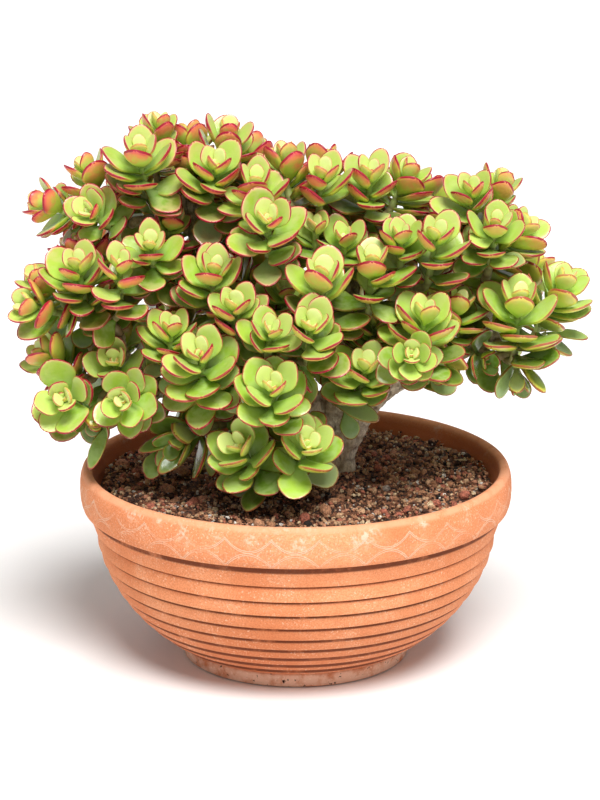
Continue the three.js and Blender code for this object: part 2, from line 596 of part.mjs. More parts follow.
// The rings of a twig, from the fork to its tip. The last ones lie between the leaf pairs, so that each leaf has one
// side of one stretch to grow from.
function twigRings(shoot) {
  const leafy = shoot.levels.map((level, i) => squareRing(
    shoot.tip.clone().addScaledVector(shoot.axis, -level * shoot.scale), shoot.across, shoot.onward,
    TWIG.tip + (TWIG.foot - TWIG.tip) * (i / (shoot.levels.length - 1))));
  const heading = shoot.twig.getTangent(0);
  const across = squared(shoot.across, heading);
  const onward = new THREE.Vector3().crossVectors(heading, across);
  return [...leafy, squareRing(shoot.twig.getPoint(0), across, onward, shoot.startWidth)].reverse();
}

function stackRings(rings) {
  const sides = rings[0].length;
  const faces = [];
  for (let i = 0; i + 1 < rings.length; i++) {
    for (let k = 0; k < sides; k++) {
      const [a, b] = [i * sides + (k + sides - 1) % sides, i * sides + k];
      faces.push([a, b, b + sides], [a, b + sides, a + sides]);
    }
  }
  const top = (rings.length - 1) * sides;
  for (let k = 1; k + 1 < sides; k++) faces.push([0, k + 1, k], [top, top + k, top + k + 1]);
  return solidOf(closedGeometry(rings.flat(), faces));
}

// A fleshy blade that grows out of one side of the twig: two rings of four points and a tip, or one ring where it is
// among the youngest.
function leafSolid(leaf) {
  const { rings } = leaf.shoot;
  const lower = rings[rings.length - 1 - leaf.pair];
  const upper = rings[rings.length - leaf.pair];
  const side = (leaf.pair + 2 * leaf.side) % 4;
  const before = (side + 3) % 4;
  const points = [lower[before], lower[side], upper[side], upper[before]];
  const faces = [[0, 2, 1], [0, 3, 2]];
  const isSmall = leaf.pair === YOUNGEST || (leaf.pair === YOUNGEST + 1 && leaf.shoot.pairs < USUAL_PAIRS);
  const stations = isSmall ? [[0.6, 1]] : [[0.4, 1], [0.8, 0.8]];
  for (const [u, fullness] of stations) {
    const first = points.length - 4;
    points.push(
      leafPoint(leaf, u, 0, -0.6 * leaf.thickness * fullness), leafPoint(leaf, u, 1, 0),
      leafPoint(leaf, u, 0, 0.25 * leaf.thickness * fullness), leafPoint(leaf, u, -1, 0));
    for (let k = 0; k < 4; k++) {
      const next = (k + 1) % 4;
      faces.push([first + k, first + next, first + 4 + k], [first + next, first + 4 + next, first + 4 + k]);
    }
  }
  const last = points.length - 4;
  points.push(leafPoint(leaf, 1, 0, 0));
  for (let k = 0; k < 4; k++) faces.push([last + k, last + (k + 1) % 4, last + 4]);
  return solidOf(closedGeometry(points, faces));
}

const trunkLean = vector(TRUNK.lean).normalize();

function trunkSolid() {
  const base = vector(TRUNK.base);
  const top = base.clone().addScaledVector(trunkLean, TRUNK.height);
  const flare = (t) => TRUNK.footRadius + (TRUNK.topRadius - TRUNK.footRadius) * Math.max(0, 2 * t - 1);
  const solids = [taperedTube(new THREE.LineCurve3(base, top), flare, 2, TRUNK.sides)];
  for (const [name, curve] of Object.entries(limbCurves)) {
    solids.push(taperedTube(curve, taper(LIMBS[name].radius), 4, 5));
  }
  for (const { wood, fork, heading, radius } of branches) {
    const end = fork.clone().addScaledVector(heading, -GAP);
    const steps = wood.getLength() > 60 ? 2 : 1;
    solids.push(taperedTube(new THREE.QuadraticBezierCurve3(wood.v0, wood.v1, end), taper(radius), steps, 4));
  }
  return wasm.Manifold.union(solids);
}

for (const shoot of shoots) shoot.rings = twigRings(shoot);
const twigs = branches.map((branch) => wasm.Manifold.union(branch.shoots.map((shoot) => stackRings(shoot.rings))));
const trunk = trunkSolid();
const bowl = bowlSolid();
const pocketFoot = vector(TRUNK.base).addScaledVector(trunkLean, -GAP);
const pocket = taperedTube(
  new THREE.LineCurve3(pocketFoot, pocketFoot.clone().addScaledVector(trunkLean, TRUNK.height)),
  () => TRUNK.footRadius + 3 * GAP, 1, TRUNK.sides);
const pottingMix = wholeOf(mixSolid().subtract(pocket));

const plant = new THREE.Group();

function addNode(name, solid, color, roughness) {
  const mesh = new THREE.Mesh(geometryOf(solid), new THREE.MeshStandardMaterial({ color, roughness, metalness: 0 }));
  mesh.name = name;
  plant.add(mesh);
}

addNode("bowl", bowl, COLOUR.clay, 0.85);
addNode("potting_mix", pottingMix, COLOUR.mix, 1);
addNode("trunk", trunk, COLOUR.bark, 0.9);

// A leaf that would still touch a node before its own, or a twig of one after it, is left out of its branch.
const leaves = placeLeaves();
const placed = [trunk, bowl, pottingMix];
branches.forEach((branch, index) => {
  const others = [...placed, ...twigs.slice(index + 1)];
  const blades = leaves.filter((leaf) => branch.shoots.includes(leaf.shoot)).map(leafSolid)
    .filter((blade) => others.every((other) => other.intersect(blade).isEmpty()));
  const solid = wholeOf(wasm.Manifold.union([twigs[index], ...blades]));
  placed.push(solid);
  addNode(branch.name, solid, COLOUR.leaf, 0.45);
});

export default plant;
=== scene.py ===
# A jade plant grown as a bonsai in a ribbed terracotta bowl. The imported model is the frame. Finer pieces
# stand for its nodes: they keep the nodes' places and sizes, and ride on their one body.
import math
import random

import bpy
import numpy as np
from mathutils import Matrix, Vector, noise
from mathutils.kdtree import KDTree

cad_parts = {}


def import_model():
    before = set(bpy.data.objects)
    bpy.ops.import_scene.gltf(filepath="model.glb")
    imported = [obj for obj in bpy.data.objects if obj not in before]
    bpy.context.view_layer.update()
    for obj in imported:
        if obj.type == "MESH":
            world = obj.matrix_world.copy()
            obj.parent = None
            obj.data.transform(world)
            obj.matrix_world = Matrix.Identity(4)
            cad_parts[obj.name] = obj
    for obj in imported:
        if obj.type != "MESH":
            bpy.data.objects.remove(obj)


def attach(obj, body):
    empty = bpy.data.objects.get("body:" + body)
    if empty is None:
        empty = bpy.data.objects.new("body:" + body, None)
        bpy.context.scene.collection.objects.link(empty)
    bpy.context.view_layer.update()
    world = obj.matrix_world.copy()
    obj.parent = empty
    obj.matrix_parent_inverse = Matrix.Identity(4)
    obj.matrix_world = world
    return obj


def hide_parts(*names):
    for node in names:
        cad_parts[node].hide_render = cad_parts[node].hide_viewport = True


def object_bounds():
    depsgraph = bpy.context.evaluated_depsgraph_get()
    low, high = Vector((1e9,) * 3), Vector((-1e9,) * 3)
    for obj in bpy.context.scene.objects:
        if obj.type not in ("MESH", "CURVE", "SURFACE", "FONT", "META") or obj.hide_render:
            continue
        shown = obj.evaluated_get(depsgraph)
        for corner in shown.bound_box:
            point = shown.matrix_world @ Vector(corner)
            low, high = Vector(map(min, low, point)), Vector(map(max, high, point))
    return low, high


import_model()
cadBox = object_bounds()

mm = 0.001


def selectOnly(*chosen):
    bpy.ops.object.select_all(action="DESELECT")
    for piece in chosen:
        piece.select_set(True)
    bpy.context.view_layer.objects.active = chosen[0]


def newPiece(adder, **values):
    bpy.ops.object.select_all(action="DESELECT")
    adder(**values)
    return bpy.context.object


def pointsOf(piece):
    points = np.empty(len(piece.data.vertices) * 3)
    piece.data.vertices.foreach_get("co", points)
    return points.reshape(-1, 3)


def movePoints(piece, points):
    piece.data.vertices.foreach_set("co", np.ascontiguousarray(points, dtype=float).ravel())
    piece.data.update()


# A number for each point, which the materials read by its name.
def paintPoints(piece, name, values):
    attribute = piece.data.attributes.get(name) or piece.data.attributes.new(name, "FLOAT", "POINT")
    full = np.full(len(piece.data.vertices), values) if np.isscalar(values) else values
    attribute.data.foreach_set("value", np.asarray(full, dtype=np.float32))


def shapeWith(piece, kind, **values):
    modifier = piece.modifiers.new(kind.lower(), kind)
    for key, value in values.items():
        setattr(modifier, key, value)
    selectOnly(piece)
    bpy.ops.object.modifier_apply(modifier=modifier.name)


def joinInto(pieces, name):
    selectOnly(*pieces)
    bpy.ops.object.join()
    joined = bpy.context.view_layer.objects.active
    joined.name = joined.data.name = name
    return joined


# Thousands of small pieces join much faster by the handful, as they are made.
def joinAsMade(pieces, name, handful=90):
    joined, waiting = [], []
    for piece in pieces:
        waiting.append(piece)
        if len(waiting) == handful:
            joined.append(joinInto(waiting, name))
            waiting = []
    return joinInto(joined + waiting, name)


# A piece's name, its material and the angle up to which its edges are smooth.
def dress(piece, name, finish, angle=180):
    piece.name = piece.data.name = name
    piece.data.materials.clear()
    piece.data.materials.append(finishes[finish])
    selectOnly(piece)
    bpy.ops.object.shade_smooth_by_angle(angle=math.radians(angle))


def standFor(piece, slot, *nodes):
    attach(piece, "root")
    if nodes:
        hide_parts(*nodes)


# One piece for each repeat: a copy of the pattern with its own mesh.
def copyOf(pattern):
    piece = pattern.copy()
    piece.data = pattern.data.copy()
    bpy.context.collection.objects.link(piece)
    return piece


def smoothStep(low, high, value):
    t = np.clip((value - low) / (high - low), 0, 1)
    return t * t * (3 - 2 * t)


def paint(text):
    parts = [int(text[i:i + 2], 16) / 255 for i in (0, 2, 4)]
    return tuple(p / 12.92 if p < 0.04045 else ((p + 0.055) / 1.055) ** 2.4 for p in parts) + (1.0,)


# Adds nodes to one tree, of a group or a material.
class Nodes:
    def __init__(self, tree):
        self.tree = tree

    def plug(self, socket, value):
        if isinstance(value, bpy.types.NodeSocket):
            self.tree.links.new(value, socket)
        else:
            socket.default_value = value

    def add(self, kind, inputs=None, **settings):
        made = self.tree.nodes.new(kind)
        for key, value in settings.items():
            setattr(made, key, value)
        for key, value in (inputs or {}).items():
            self.plug(made.inputs[key], value)
        return made

    def calc(self, operation, *values):
        return self.add("ShaderNodeMath", dict(enumerate(values)), operation=operation).outputs[0]

    def times(self, first, *others):
        for other in others:
            first = self.calc("MULTIPLY", first, other)
        return first

    def minus(self, a, b):
        return self.calc("SUBTRACT", a, b)

    def scaled(self, value, factor, plus):
        return self.calc("MULTIPLY_ADD", value, factor, plus)

    # Start where the value is at low, end where it is at high, and smooth between the two.
    def between(self, value, low, high, start=0, end=1):
        inputs = {0: value, 1: low, 2: high, 3: start, 4: end}
        return self.add("ShaderNodeMapRange", inputs, interpolation_type="SMOOTHSTEP").outputs[0]

    def place(self):
        return self.add("ShaderNodeTexCoord").outputs["Object"]

    def cloud(self, inputs):
        return self.add("ShaderNodeTexNoise", inputs).outputs["Fac"]


def newGroup(name, *labels):
    group = bpy.data.node_groups.new(name, "ShaderNodeTree")
    for label in labels:
        group.interface.new_socket(label, in_out="INPUT", socket_type="NodeSocketFloat")
    group.interface.new_socket("Value", in_out="OUTPUT", socket_type="NodeSocketFloat")
    nodes = Nodes(group)
    return nodes, nodes.add("NodeGroupInput").outputs, nodes.add("NodeGroupOutput").inputs["Value"]


# Soft patches of the given size, from 0 to 1 where the cloud goes from low to high.
def makePatches():
    nodes, given, result = newGroup("patches", "Scale", "Detail", "Low", "High")
    inputs = {"Vector": nodes.place(), "Scale": given["Scale"], "Detail": given["Detail"], "Roughness": 0.6}
    nodes.plug(result, nodes.between(nodes.cloud(inputs), given["Low"], given["High"]))
    return nodes.tree


# Grains and small pits, for a bump.
def makeGrain():
    nodes, given, result = newGroup("grain", "Scale", "Pits")
    place = nodes.place()
    fine = nodes.cloud({"Vector": place, "Scale": given["Scale"], "Detail": 5, "Roughness": 0.7})
    cells = nodes.add("ShaderNodeTexVoronoi", {"Vector": place, "Scale": nodes.times(given["Scale"], 0.3)})
    pit = nodes.between(cells.outputs["Distance"], 0.08, 0.22, 1, 0)
    nodes.plug(result, nodes.minus(fine, nodes.times(pit, given["Pits"])))
    return nodes.tree


shared = {"patches": makePatches(), "grain": makeGrain()}


# One material: its colours are laid one over the other, and so are its bumps.
class Finish(Nodes):
    def __init__(self, name, look, first=None):
        self.material = bpy.data.materials.new(name)
        self.material.use_nodes = True
        super().__init__(self.material.node_tree)
        self.shader = self.tree.nodes["Principled BSDF"].inputs
        self.look = look
        self.colour = paint(look[first]) if first else None
        self.normal = None

    # What the pieces' points say.
    def painted(self, *names):
        return [self.add("ShaderNodeAttribute", attribute_name=name).outputs["Fac"] for name in names]

    def group(self, name, inputs):
        return self.add("ShaderNodeGroup", inputs, node_tree=shared[name]).outputs["Value"]

    def patches(self, scale, low=0.4, high=0.6, detail=4):
        return self.group("patches", {"Scale": scale, "Detail": detail, "Low": low, "High": high})

    def grain(self, scale, pits):
        return self.group("grain", {"Scale": scale, "Pits": pits})

    # Noise drawn out along the upright axis, as a mask.
    def fibres(self, scale, low, high):
        drawn = self.add("ShaderNodeMapping", {"Vector": self.place(), "Scale": (1, 1, 0.14)}).outputs[0]
        return self.between(self.cloud({"Vector": drawn, "Scale": scale, "Detail": 5}), low, high)

    # Lays a colour of the look over those so far, as strong as the shares' product.
    def layer(self, name, *shares):
        inputs = {0: self.times(*shares), 6: self.colour, 7: paint(self.look[name])}
        self.colour = self.add("ShaderNodeMix", inputs, data_type="RGBA").outputs[2]

    def bump(self, height, strength, depth):
        inputs = {"Height": height, "Strength": strength, "Distance": depth * mm}
        if self.normal:
            inputs["Normal"] = self.normal
        self.normal = self.add("ShaderNodeBump", inputs).outputs["Normal"]

    def done(self, values):
        self.plug(self.shader["Base Color"], self.colour)
        if self.normal:
            self.plug(self.shader["Normal"], self.normal)
        for label, value in values.items():
            self.plug(self.shader[label], value)
        return self.material


# Fired clay with fine grain, pale lime bloom, painted shade towards the bottom, a painted shadow under each
# rib, a lip painted paler that is partly painted light, damp stain inside and arcs scribed on the collar.
# Heights are in millimetres.
clayLook = {
    "deep": "e08a5a", "light": "f3a474", "low": "a95a36", "grit": "b9643c", "fleck": "f8cfae",
    "arc": "f9d6ba", "bloom": "f0cbb2", "lip": "efa981", "ribShadow": "5a2612", "damp": "a95a2f",
    "pit": "2e1a10", "arcs": 30, "arcHeight": 11, "arcFoot": 135.5, "arcSteep": 1.15, "arcLine": 0.05,
}


# Arcs along the collar's foot, each a double line, and over each meeting of two arcs the upper sides of a
# diamond.
def scribedArcs(clay, x, y, z):
    turn = clay.times(clay.calc("ARCTAN2", y, x), clayLook["arcs"] / (2 * math.pi))
    across = clay.times(clay.calc("ABSOLUTE", clay.minus(clay.calc("FRACT", turn), 0.5)), 2)
    square = clay.times(across, across)
    rise = clay.calc("DIVIDE", clay.minus(z, clayLook["arcFoot"] * mm), clayLook["arcHeight"] * mm)
    steep = clay.calc("SQRT", clay.scaled(square, clayLook["arcSteep"], 1))
    low = clay.minus(1, square)
    high = clay.scaled(square, 0.95, 1.05)
    lines = 0
    for curve, inset in ((low, 0), (low, -0.15), (high, 0), (high, 0.13)):
        off = clay.calc("ABSOLUTE", clay.minus(clay.minus(rise, curve), inset))
        line = clay.between(clay.calc("DIVIDE", off, steep), 0.01, clayLook["arcLine"], 1, 0)
        lines = clay.calc("MAXIMUM", lines, line)
    dots = clay.times(clay.patches(760, 0.6, 0.68, 1), clay.between(rise, 1.7, 2, 0.6, 0))
    return clay.calc("MAXIMUM", lines, dots)


def makeClay():
    clay = Finish("firedClay", clayLook, "deep")
    x, y, z = clay.add("ShaderNodeSeparateXYZ", {"Vector": clay.place()}).outputs
    inside, belowRib = clay.painted("inside", "belowRib")

    def atHeight(low, high, start=0, end=1):
        return clay.between(z, low * mm, high * mm, start, end)

    clay.layer("light", clay.patches(9, 0.35, 0.7))
    # Painted shade: the clay darkens towards the bottom, where the wall turns to face down.
    clay.layer("low", atHeight(8, 110, 1, 0), 0.55)
    clay.layer("grit", clay.patches(820, 0.4, 0.62, 3), 0.42)
    clay.layer("fleck", clay.patches(620, 0.56, 0.66, 5), clay.patches(34, 0.35, 0.6), 0.75)
    collar = clay.times(atHeight(134.5, 136), clay.minus(1, inside))
    arcs = clay.times(scribedArcs(clay, x, y, z), collar, clay.patches(24, 0.36, 0.6))
    clay.layer("arc", arcs, 0.62)
    blotches = clay.times(clay.patches(36, 0.54, 0.66), clay.patches(300, 0.42, 0.58))
    bloom = clay.times(blotches, clay.scaled(atHeight(142, 162), 0.7, 0.1))
    foot = clay.times(atHeight(10, 14, 1, 0), clay.patches(70, 0.3, 0.6), 0.7)
    clay.layer("bloom", clay.calc("MAXIMUM", bloom, foot))
    # Partly painted light: the lip's top is painted paler, a painted highlight over its own paler clay.
    clay.layer("lip", atHeight(162.5, 165.5), clay.patches(60, 0.2, 0.6), 0.8)
    # Painted shadow: a dark band just below each rib's edge and under the collar, where the rib above
    # shades the wall.
    clay.layer("ribShadow", clay.between(belowRib, 0.7, 2.2, 1, 0), clay.patches(50, 0.1, 0.5), 0.88)
    clay.layer("damp", inside, atHeight(159, 166.5, 1, 0.25), 0.9)
    clay.layer("pit", atHeight(12, 20, 1, 0), clay.patches(260, 0.63, 0.66))
    grain = clay.grain(900, 0.4)
    clay.bump(grain, 0.4, 0.5)
    clay.bump(clay.patches(45, 0.2, 0.8), 0.25, 1)
    clay.bump(arcs, 0.7, 0.6)
    return clay.done({"Roughness": clay.between(grain, 0.3, 0.7, 0.95, 0.78), "Specular IOR Level": 0.3})


# Crumbs of soil, bark and lava: each crumb's tone, from 0 to 1, picks the last colour that starts below it.
crumbLook = {
    "tones": [(0, "46291c"), (0.14, "875539"), (0.3, "b07b57"), (0.46, "c98f69"), (0.6, "bd6e55"),
              (0.7, "d0906f"), (0.79, "22160f"), (0.85, "d9ab82"), (0.93, "e8c9a0"), (0.965, "b5a496"),
              (0.99, "f8efe2")],
    "dark": "1c110b", "cells": 420, "bedSpread": 0.3,
}


def makeCrumb():
    crumb = Finish("crumb", crumbLook)
    cells = crumb.add("ShaderNodeTexVoronoi", {"Vector": crumb.place(), "Scale": crumbLook["cells"]})
    speck = crumb.add("ShaderNodeSeparateColor", {"Color": cells.outputs["Color"]}).outputs[0]
    bed, own = crumb.painted("bed", "tone")
    tone = crumb.scaled(crumb.times(speck, bed), crumbLook["bedSpread"], own)
    ramp = crumb.add("ShaderNodeValToRGB", {"Fac": tone})
    ramp.color_ramp.interpolation = "CONSTANT"
    elements = ramp.color_ramp.elements
    elements.remove(elements[1])
    elements[0].color = paint(crumbLook["tones"][0][1])
    for position, text in crumbLook["tones"][1:]:
        elements.new(position).color = paint(text)
    crumb.colour = ramp.outputs["Color"]
    crumb.layer("dark", crumb.patches(520, 0.42, 0.62), 0.55)
    grain = crumb.grain(700, 0.8)
    crumb.bump(grain, 1, 1.2)
    crumb.bump(crumb.times(crumb.between(cells.outputs["Distance"], 0, 0.5, 1, 0), bed), 1, 1.6)
    return crumb.done({"Roughness": crumb.between(grain, 0.2, 0.7, 1, 0.7)})


# Grey-brown bark: fibrous and wrinkled along the stem, with ring scars where leaves once sat.
barkLook = {"wood": "cdb798", "pale": "f3e6cf", "stain": "84694f", "crack": "5c4632", "ring": "664e39",
            "young": "98964c"}


def makeBark():
    bark = Finish("greyBark", barkLook, "wood")
    ring, young = bark.painted("ring", "young")
    bark.layer("pale", bark.patches(50, 0.35, 0.65))
    bark.layer("stain", bark.patches(300, 0.45, 0.6), 0.45)
    bark.layer("crack", bark.fibres(260, 0.55, 0.64), 0.6)
    bark.layer("ring", ring, 0.6)
    bark.layer("young", young, 0.55)
    bark.bump(bark.grain(420, 0.6), 0.7, 0.9)
    bark.bump(bark.fibres(150, 0.3, 0.7), 0.8, 1.6)
    bark.bump(bark.patches(120, 0.3, 0.7), 0.6, 1.6)
    return bark.done({"Roughness": 0.85})


# Fleshy leaf. Each point knows how far it is along the leaf, how far from the margin and whether it is on
# the underside; each leaf knows its age, how much sun it gets and a tint of its own.
leafLook = {
    "bud": "dce698", "young": "cade7c", "grown": "a9cd48", "old": "6b9428", "lime": "d8ea80",
    "deep": "4a8214", "sage": "c4db98", "under": "bfcb3e", "silver": "adba94", "olive": "56601f",
    "gold": "efe45c", "blush": "f2935f", "rose": "dc3b56", "pink": "f3a79a", "speck": "56391f",
    "rim": "8a4a1e", "margin": "a30c2e",
}


def makeLeafSkin():
    skin = Finish("jadeLeaf", leafLook, "bud")
    between, times, minus, scaled = skin.between, skin.times, skin.minus, skin.scaled
    along, fromEdge, under = skin.painted("along", "fromEdge", "under")
    age, sun, tint = skin.painted("age", "sun", "tint")
    above = minus(1, under)
    last = between(age, 0.85, 1)
    soft = skin.patches(90, 0.35, 0.65, 2)
    skin.layer("young", between(age, 0, 0.2))
    skin.layer("grown", between(age, 0.15, 0.55))
    skin.layer("old", between(age, 0.5, 0.95))
    skin.layer("lime", between(tint, 0.6, 1), 0.35)
    # Painted shade: darker green towards each leaf's foot, where it sits deep in the rosette.
    skin.layer("deep", between(along, 0.05, 0.55, 1, 0), between(age, 0.1, 0.5, 0.1, 0.55))
    skin.layer("sage", soft, above, between(age, 0.1, 0.7, 0.1, 0.4), between(last, 0, 1, 1, 0.35))
    skin.layer("under", under, 0.4)
    skin.layer("silver", last, between(tint, 0.5, 0.7), 0.55)
    skin.layer("olive", between(age, 0.62, 0.95), between(tint, 0.3, 0.55, 1, 0), 0.6)
    skin.layer("gold", between(fromEdge, 0.12, 0.6, 1, 0), between(along, 0.15, 0.6),
               scaled(under, 0.6, 0.15))
    wave = scaled(minus(soft, 0.5), 0.25, along)
    side = scaled(under, 0.85, 0.15)
    sun = times(sun, between(age, 0, 0.2, 0.25, 1))
    skin.layer("blush", skin.calc("MINIMUM", times(between(wave, 0.42, 1), side, sun, 1.35), 1))
    skin.layer("rose", between(fromEdge, 0.1, 0.75, 1, 0), between(wave, 0.5, 0.95), side, sun, 0.9)
    skin.layer("pink", between(fromEdge, 0.08, 0.5, 1, 0), between(wave, 0.5, 0.9), above,
               between(sun, 0, 0.7, 0.1, 0.85))
    skin.layer("speck", skin.patches(800, 0.62, 0.7), between(age, 0.55, 1, 0.04, 0.45))
    thin = minus(scaled(minus(soft, 0.5), 0.05, fromEdge), between(along, 0.5, 1, 0, 0.08))
    line = between(thin, 0.06, 0.14, 1, 0)
    skin.layer("rim", line, between(age, 0.5, 1, 0.1, 0.75))
    skin.layer("margin", line, between(along, 0.42, 0.8), between(age, 0, 0.2, 0.4, 1),
               between(sun, 0, 0.4, 0.75, 1), between(last, 0, 1, 1, 0.3))
    skin.bump(skin.grain(1100, 0.6), 0.12, 0.3)
    skin.bump(skin.patches(140, 0.2, 0.8, 2), 0.15, 1)
    return skin.done({"Roughness": between(age, 0.2, 1, 0.36, 0.2), "Subsurface Weight": 0.1,
                      "Subsurface Radius": (0.6, 1, 0.25), "Subsurface Scale": 2 * mm})


# Young twig: green at the leaves, tan and ringed towards the wood.
twigLook = {"tan": "8f7a55", "pale": "a8946c", "green": "9cb060", "ring": "6a5334"}


def makeTwigSkin():
    twig = Finish("youngTwig", twigLook, "tan")
    young, ring = twig.painted("young", "ring")
    twig.layer("pale", twig.patches(140, 0.35, 0.65))
    twig.layer("green", twig.between(young, 0.2, 0.75))
    twig.layer("ring", ring, 0.6)
    twig.bump(twig.grain(600, 0.4), 0.35, 0.5)
    return twig.done({"Roughness": 0.55})


finishes = {"clay": makeClay(), "crumb": makeCrumb(), "bark": makeBark(), "leaf": makeLeafSkin(),
            "twig": makeTwigSkin()}
print("materials made")


bowl = {
    "height": 168, "rimRadius": 185, "rimDepth": 34, "rimStep": 8, "lipThickness": 11, "wall": 11,
    "wallRadius": 172.5, "wallTop": 127, "wallDrop": 140, "eyeRaised": 16,
    "ribCount": 10, "ribPitch": 14, "ribStart": -2.4, "ribStep": 2.2, "ribBulge": 0.9, "undercut": 1.5,
    "undercutShare": 0.16,
    "footRadius": 97, "footHeight": 12, "floorTop": 17, "floorRise": 6, "floorTurn": 14,
    "drains": 3, "drainRadius": 7, "drainRing": 46, "drainTurn": 0.5, "steps": 160,
    "insideHeights": [132, 118, 96, 76, 56, 38],
}
collarInside = bowl["rimRadius"] - bowl["lipThickness"]
insideCorner = bowl["floorTop"] + bowl["floorRise"]


# The wall is a quarter ellipse: its radius and height at a distance down it.
def wallPoint(distance):
    angle = gone = 0.0
    step = 0.002
    while gone < distance:
        gone += step * math.hypot(bowl["wallRadius"] * math.sin(angle), bowl["wallDrop"] * math.cos(angle))
        angle += step
    return bowl["wallRadius"] * math.cos(angle), bowl["wallTop"] - bowl["wallDrop"] * math.sin(angle)


def insideRadius(z):
    below = max(0, bowl["wallTop"] - z) / bowl["wallDrop"]
    return bowl["wallRadius"] * math.sqrt(1 - below * below) - bowl["wall"]


# A rib's top and edge: radius and height.
def ribEnds(index):
    distance = bowl["ribPitch"] * index + bowl["ribStart"]
    if index:
        topRadius, topHeight = wallPoint(distance)
        topRadius -= bowl["ribStep"]
    else:
        topRadius, topHeight = bowl["rimRadius"] - bowl["rimStep"], bowl["height"] - bowl["rimDepth"]
    edgeRadius, edgeHeight = wallPoint(distance + bowl["ribPitch"])
    return topRadius, topHeight, edgeRadius + bowl["ribStep"] * 0.3, max(edgeHeight, bowl["footHeight"] + 2)


# One rib, from the undercut groove beneath the rib above to its own rounded edge.
def ribLine(index):
    topRadius, topHeight, edgeRadius, edgeHeight = ribEnds(index)
    line = []
    for share in (0, 0.05, 0.1, 0.16, 0.3, 0.5, 0.7, 0.86, 0.95):
        cut = bowl["undercut"] * (1 - min(1, share / bowl["undercutShare"])) ** 1.5
        bulge = bowl["ribBulge"] * math.sin(math.pi * share) - cut
        radius = topRadius + (edgeRadius - topRadius) * share
        height = topHeight + (edgeHeight - topHeight) * share
        line.append((radius + bulge * 0.8, height - bulge * 0.35))
    return line + [(edgeRadius + 0.1, edgeHeight + 0.1), (edgeRadius - 0.5, edgeHeight - 0.35)]


# How far down its rib each point of the wall is, in millimetres, past what the rib above hides from a
# raised eye.
# The painted shadow under each rib and under the collar reaches down by this distance.
def belowRib(radius, height):
    below = np.full(len(radius), 99.0)
    for index in range(bowl["ribCount"]):
        topRadius, topHeight, edgeRadius, edgeHeight = ribEnds(index)
        across, fall = topRadius - edgeRadius, topHeight - edgeHeight
        length = math.hypot(across, fall)
        down = ((topRadius - radius) * across + (topHeight - height) * fall) / length
        out = ((radius - topRadius) * fall - (height - topHeight) * across) / length
        over = bowl["ribStep"] * 1.3 if index else bowl["rimStep"]
        hidden = over * math.tan(math.atan2(across, fall) + math.radians(bowl["eyeRaised"]))
        past = (down - min(hidden, length - 4)) / (1 if index else 1.3)
        own = (down > -0.3) & (down < length + 0.5) & (np.abs(out) < 2.4)
        below = np.where(own & (past < below), past, below)
    return below


# The bowl's outline from the middle of its underside, over the foot, the ribs and the lip, to the floor.
def bowlLine():
    foot, top, outer = bowl["footRadius"], bowl["height"], bowl["rimRadius"]
    footTop, rimBottom = bowl["footHeight"], top - bowl["rimDepth"]
    line = [(0, 0), (foot * 0.5, 0), (foot - 2, 0), (foot, 1.2), (foot + 0.6, 4), (foot + 1.3, 8),
            (foot + 1.5, footTop - 1), (foot + 0.8, footTop)]
    for index in reversed(range(bowl["ribCount"])):
        line += reversed(ribLine(index))
    for inset, rise in ((3.4, -0.2), (2.3, 0.8), (1.2, 4), (0.3, 9), (0, 15)):
        line.append((outer - inset, rimBottom + rise))
    for inset, drop in ((0.2, 12), (0.9, 7), (2.2, 3), (3.6, 1), (5.4, 0)):
        line.append((outer - inset, top - drop))
    for inset, drop in ((3, 0.2), (1.2, 1.2), (0.3, 3), (0, 5), (-2.6, 11), (-6, 20)):
        line.append((collarInside + inset, top - drop))
    line += [(insideRadius(z), z) for z in [*bowl["insideHeights"], insideCorner]]
    floor = bowl["floorTop"]
    return line + [(insideRadius(insideCorner) - bowl["floorTurn"], floor), (0, floor)]


# A line drawn point by point in the XZ plane, by extruding its last point, then spun round the upright
# axis.
def spinLine(line, steps):
    piece = newPiece(bpy.ops.mesh.primitive_plane_add, size=mm)
    bpy.ops.object.mode_set(mode="EDIT")
    bpy.ops.mesh.select_mode(type="VERT")
    bpy.ops.mesh.merge(type="CENTER")
    bpy.ops.transform.translate(value=(line[0][0] * mm, 0, line[0][1] * mm))
    for (r0, z0), (r1, z1) in zip(line, line[1:]):
        move = {"value": ((r1 - r0) * mm, 0, (z1 - z0) * mm)}
        bpy.ops.mesh.extrude_region_move(TRANSFORM_OT_translate=move)
    bpy.ops.mesh.select_all(action="SELECT")
    bpy.ops.mesh.spin(steps=steps, angle=2 * math.pi, center=(0, 0, 0), axis=(0, 0, 1))
    bpy.ops.mesh.select_all(action="SELECT")
    bpy.ops.mesh.remove_doubles(threshold=0.02 * mm)
    bpy.ops.mesh.normals_make_consistent(inside=False)
    bpy.ops.object.mode_set(mode="OBJECT")
    return piece


def drillDrains(piece):
    for i in range(bowl["drains"]):
        turn = 2 * math.pi * i / bowl["drains"] + bowl["drainTurn"]
        place = (bowl["drainRing"] * mm * math.cos(turn), bowl["drainRing"] * mm * math.sin(turn), 0)
        drill = newPiece(bpy.ops.mesh.primitive_cylinder_add, vertices=32, radius=bowl["drainRadius"] * mm,
                         depth=60 * mm, location=place)
        shapeWith(piece, "BOOLEAN", object=drill, operation="DIFFERENCE", solver="EXACT")
        bpy.data.objects.remove(drill)


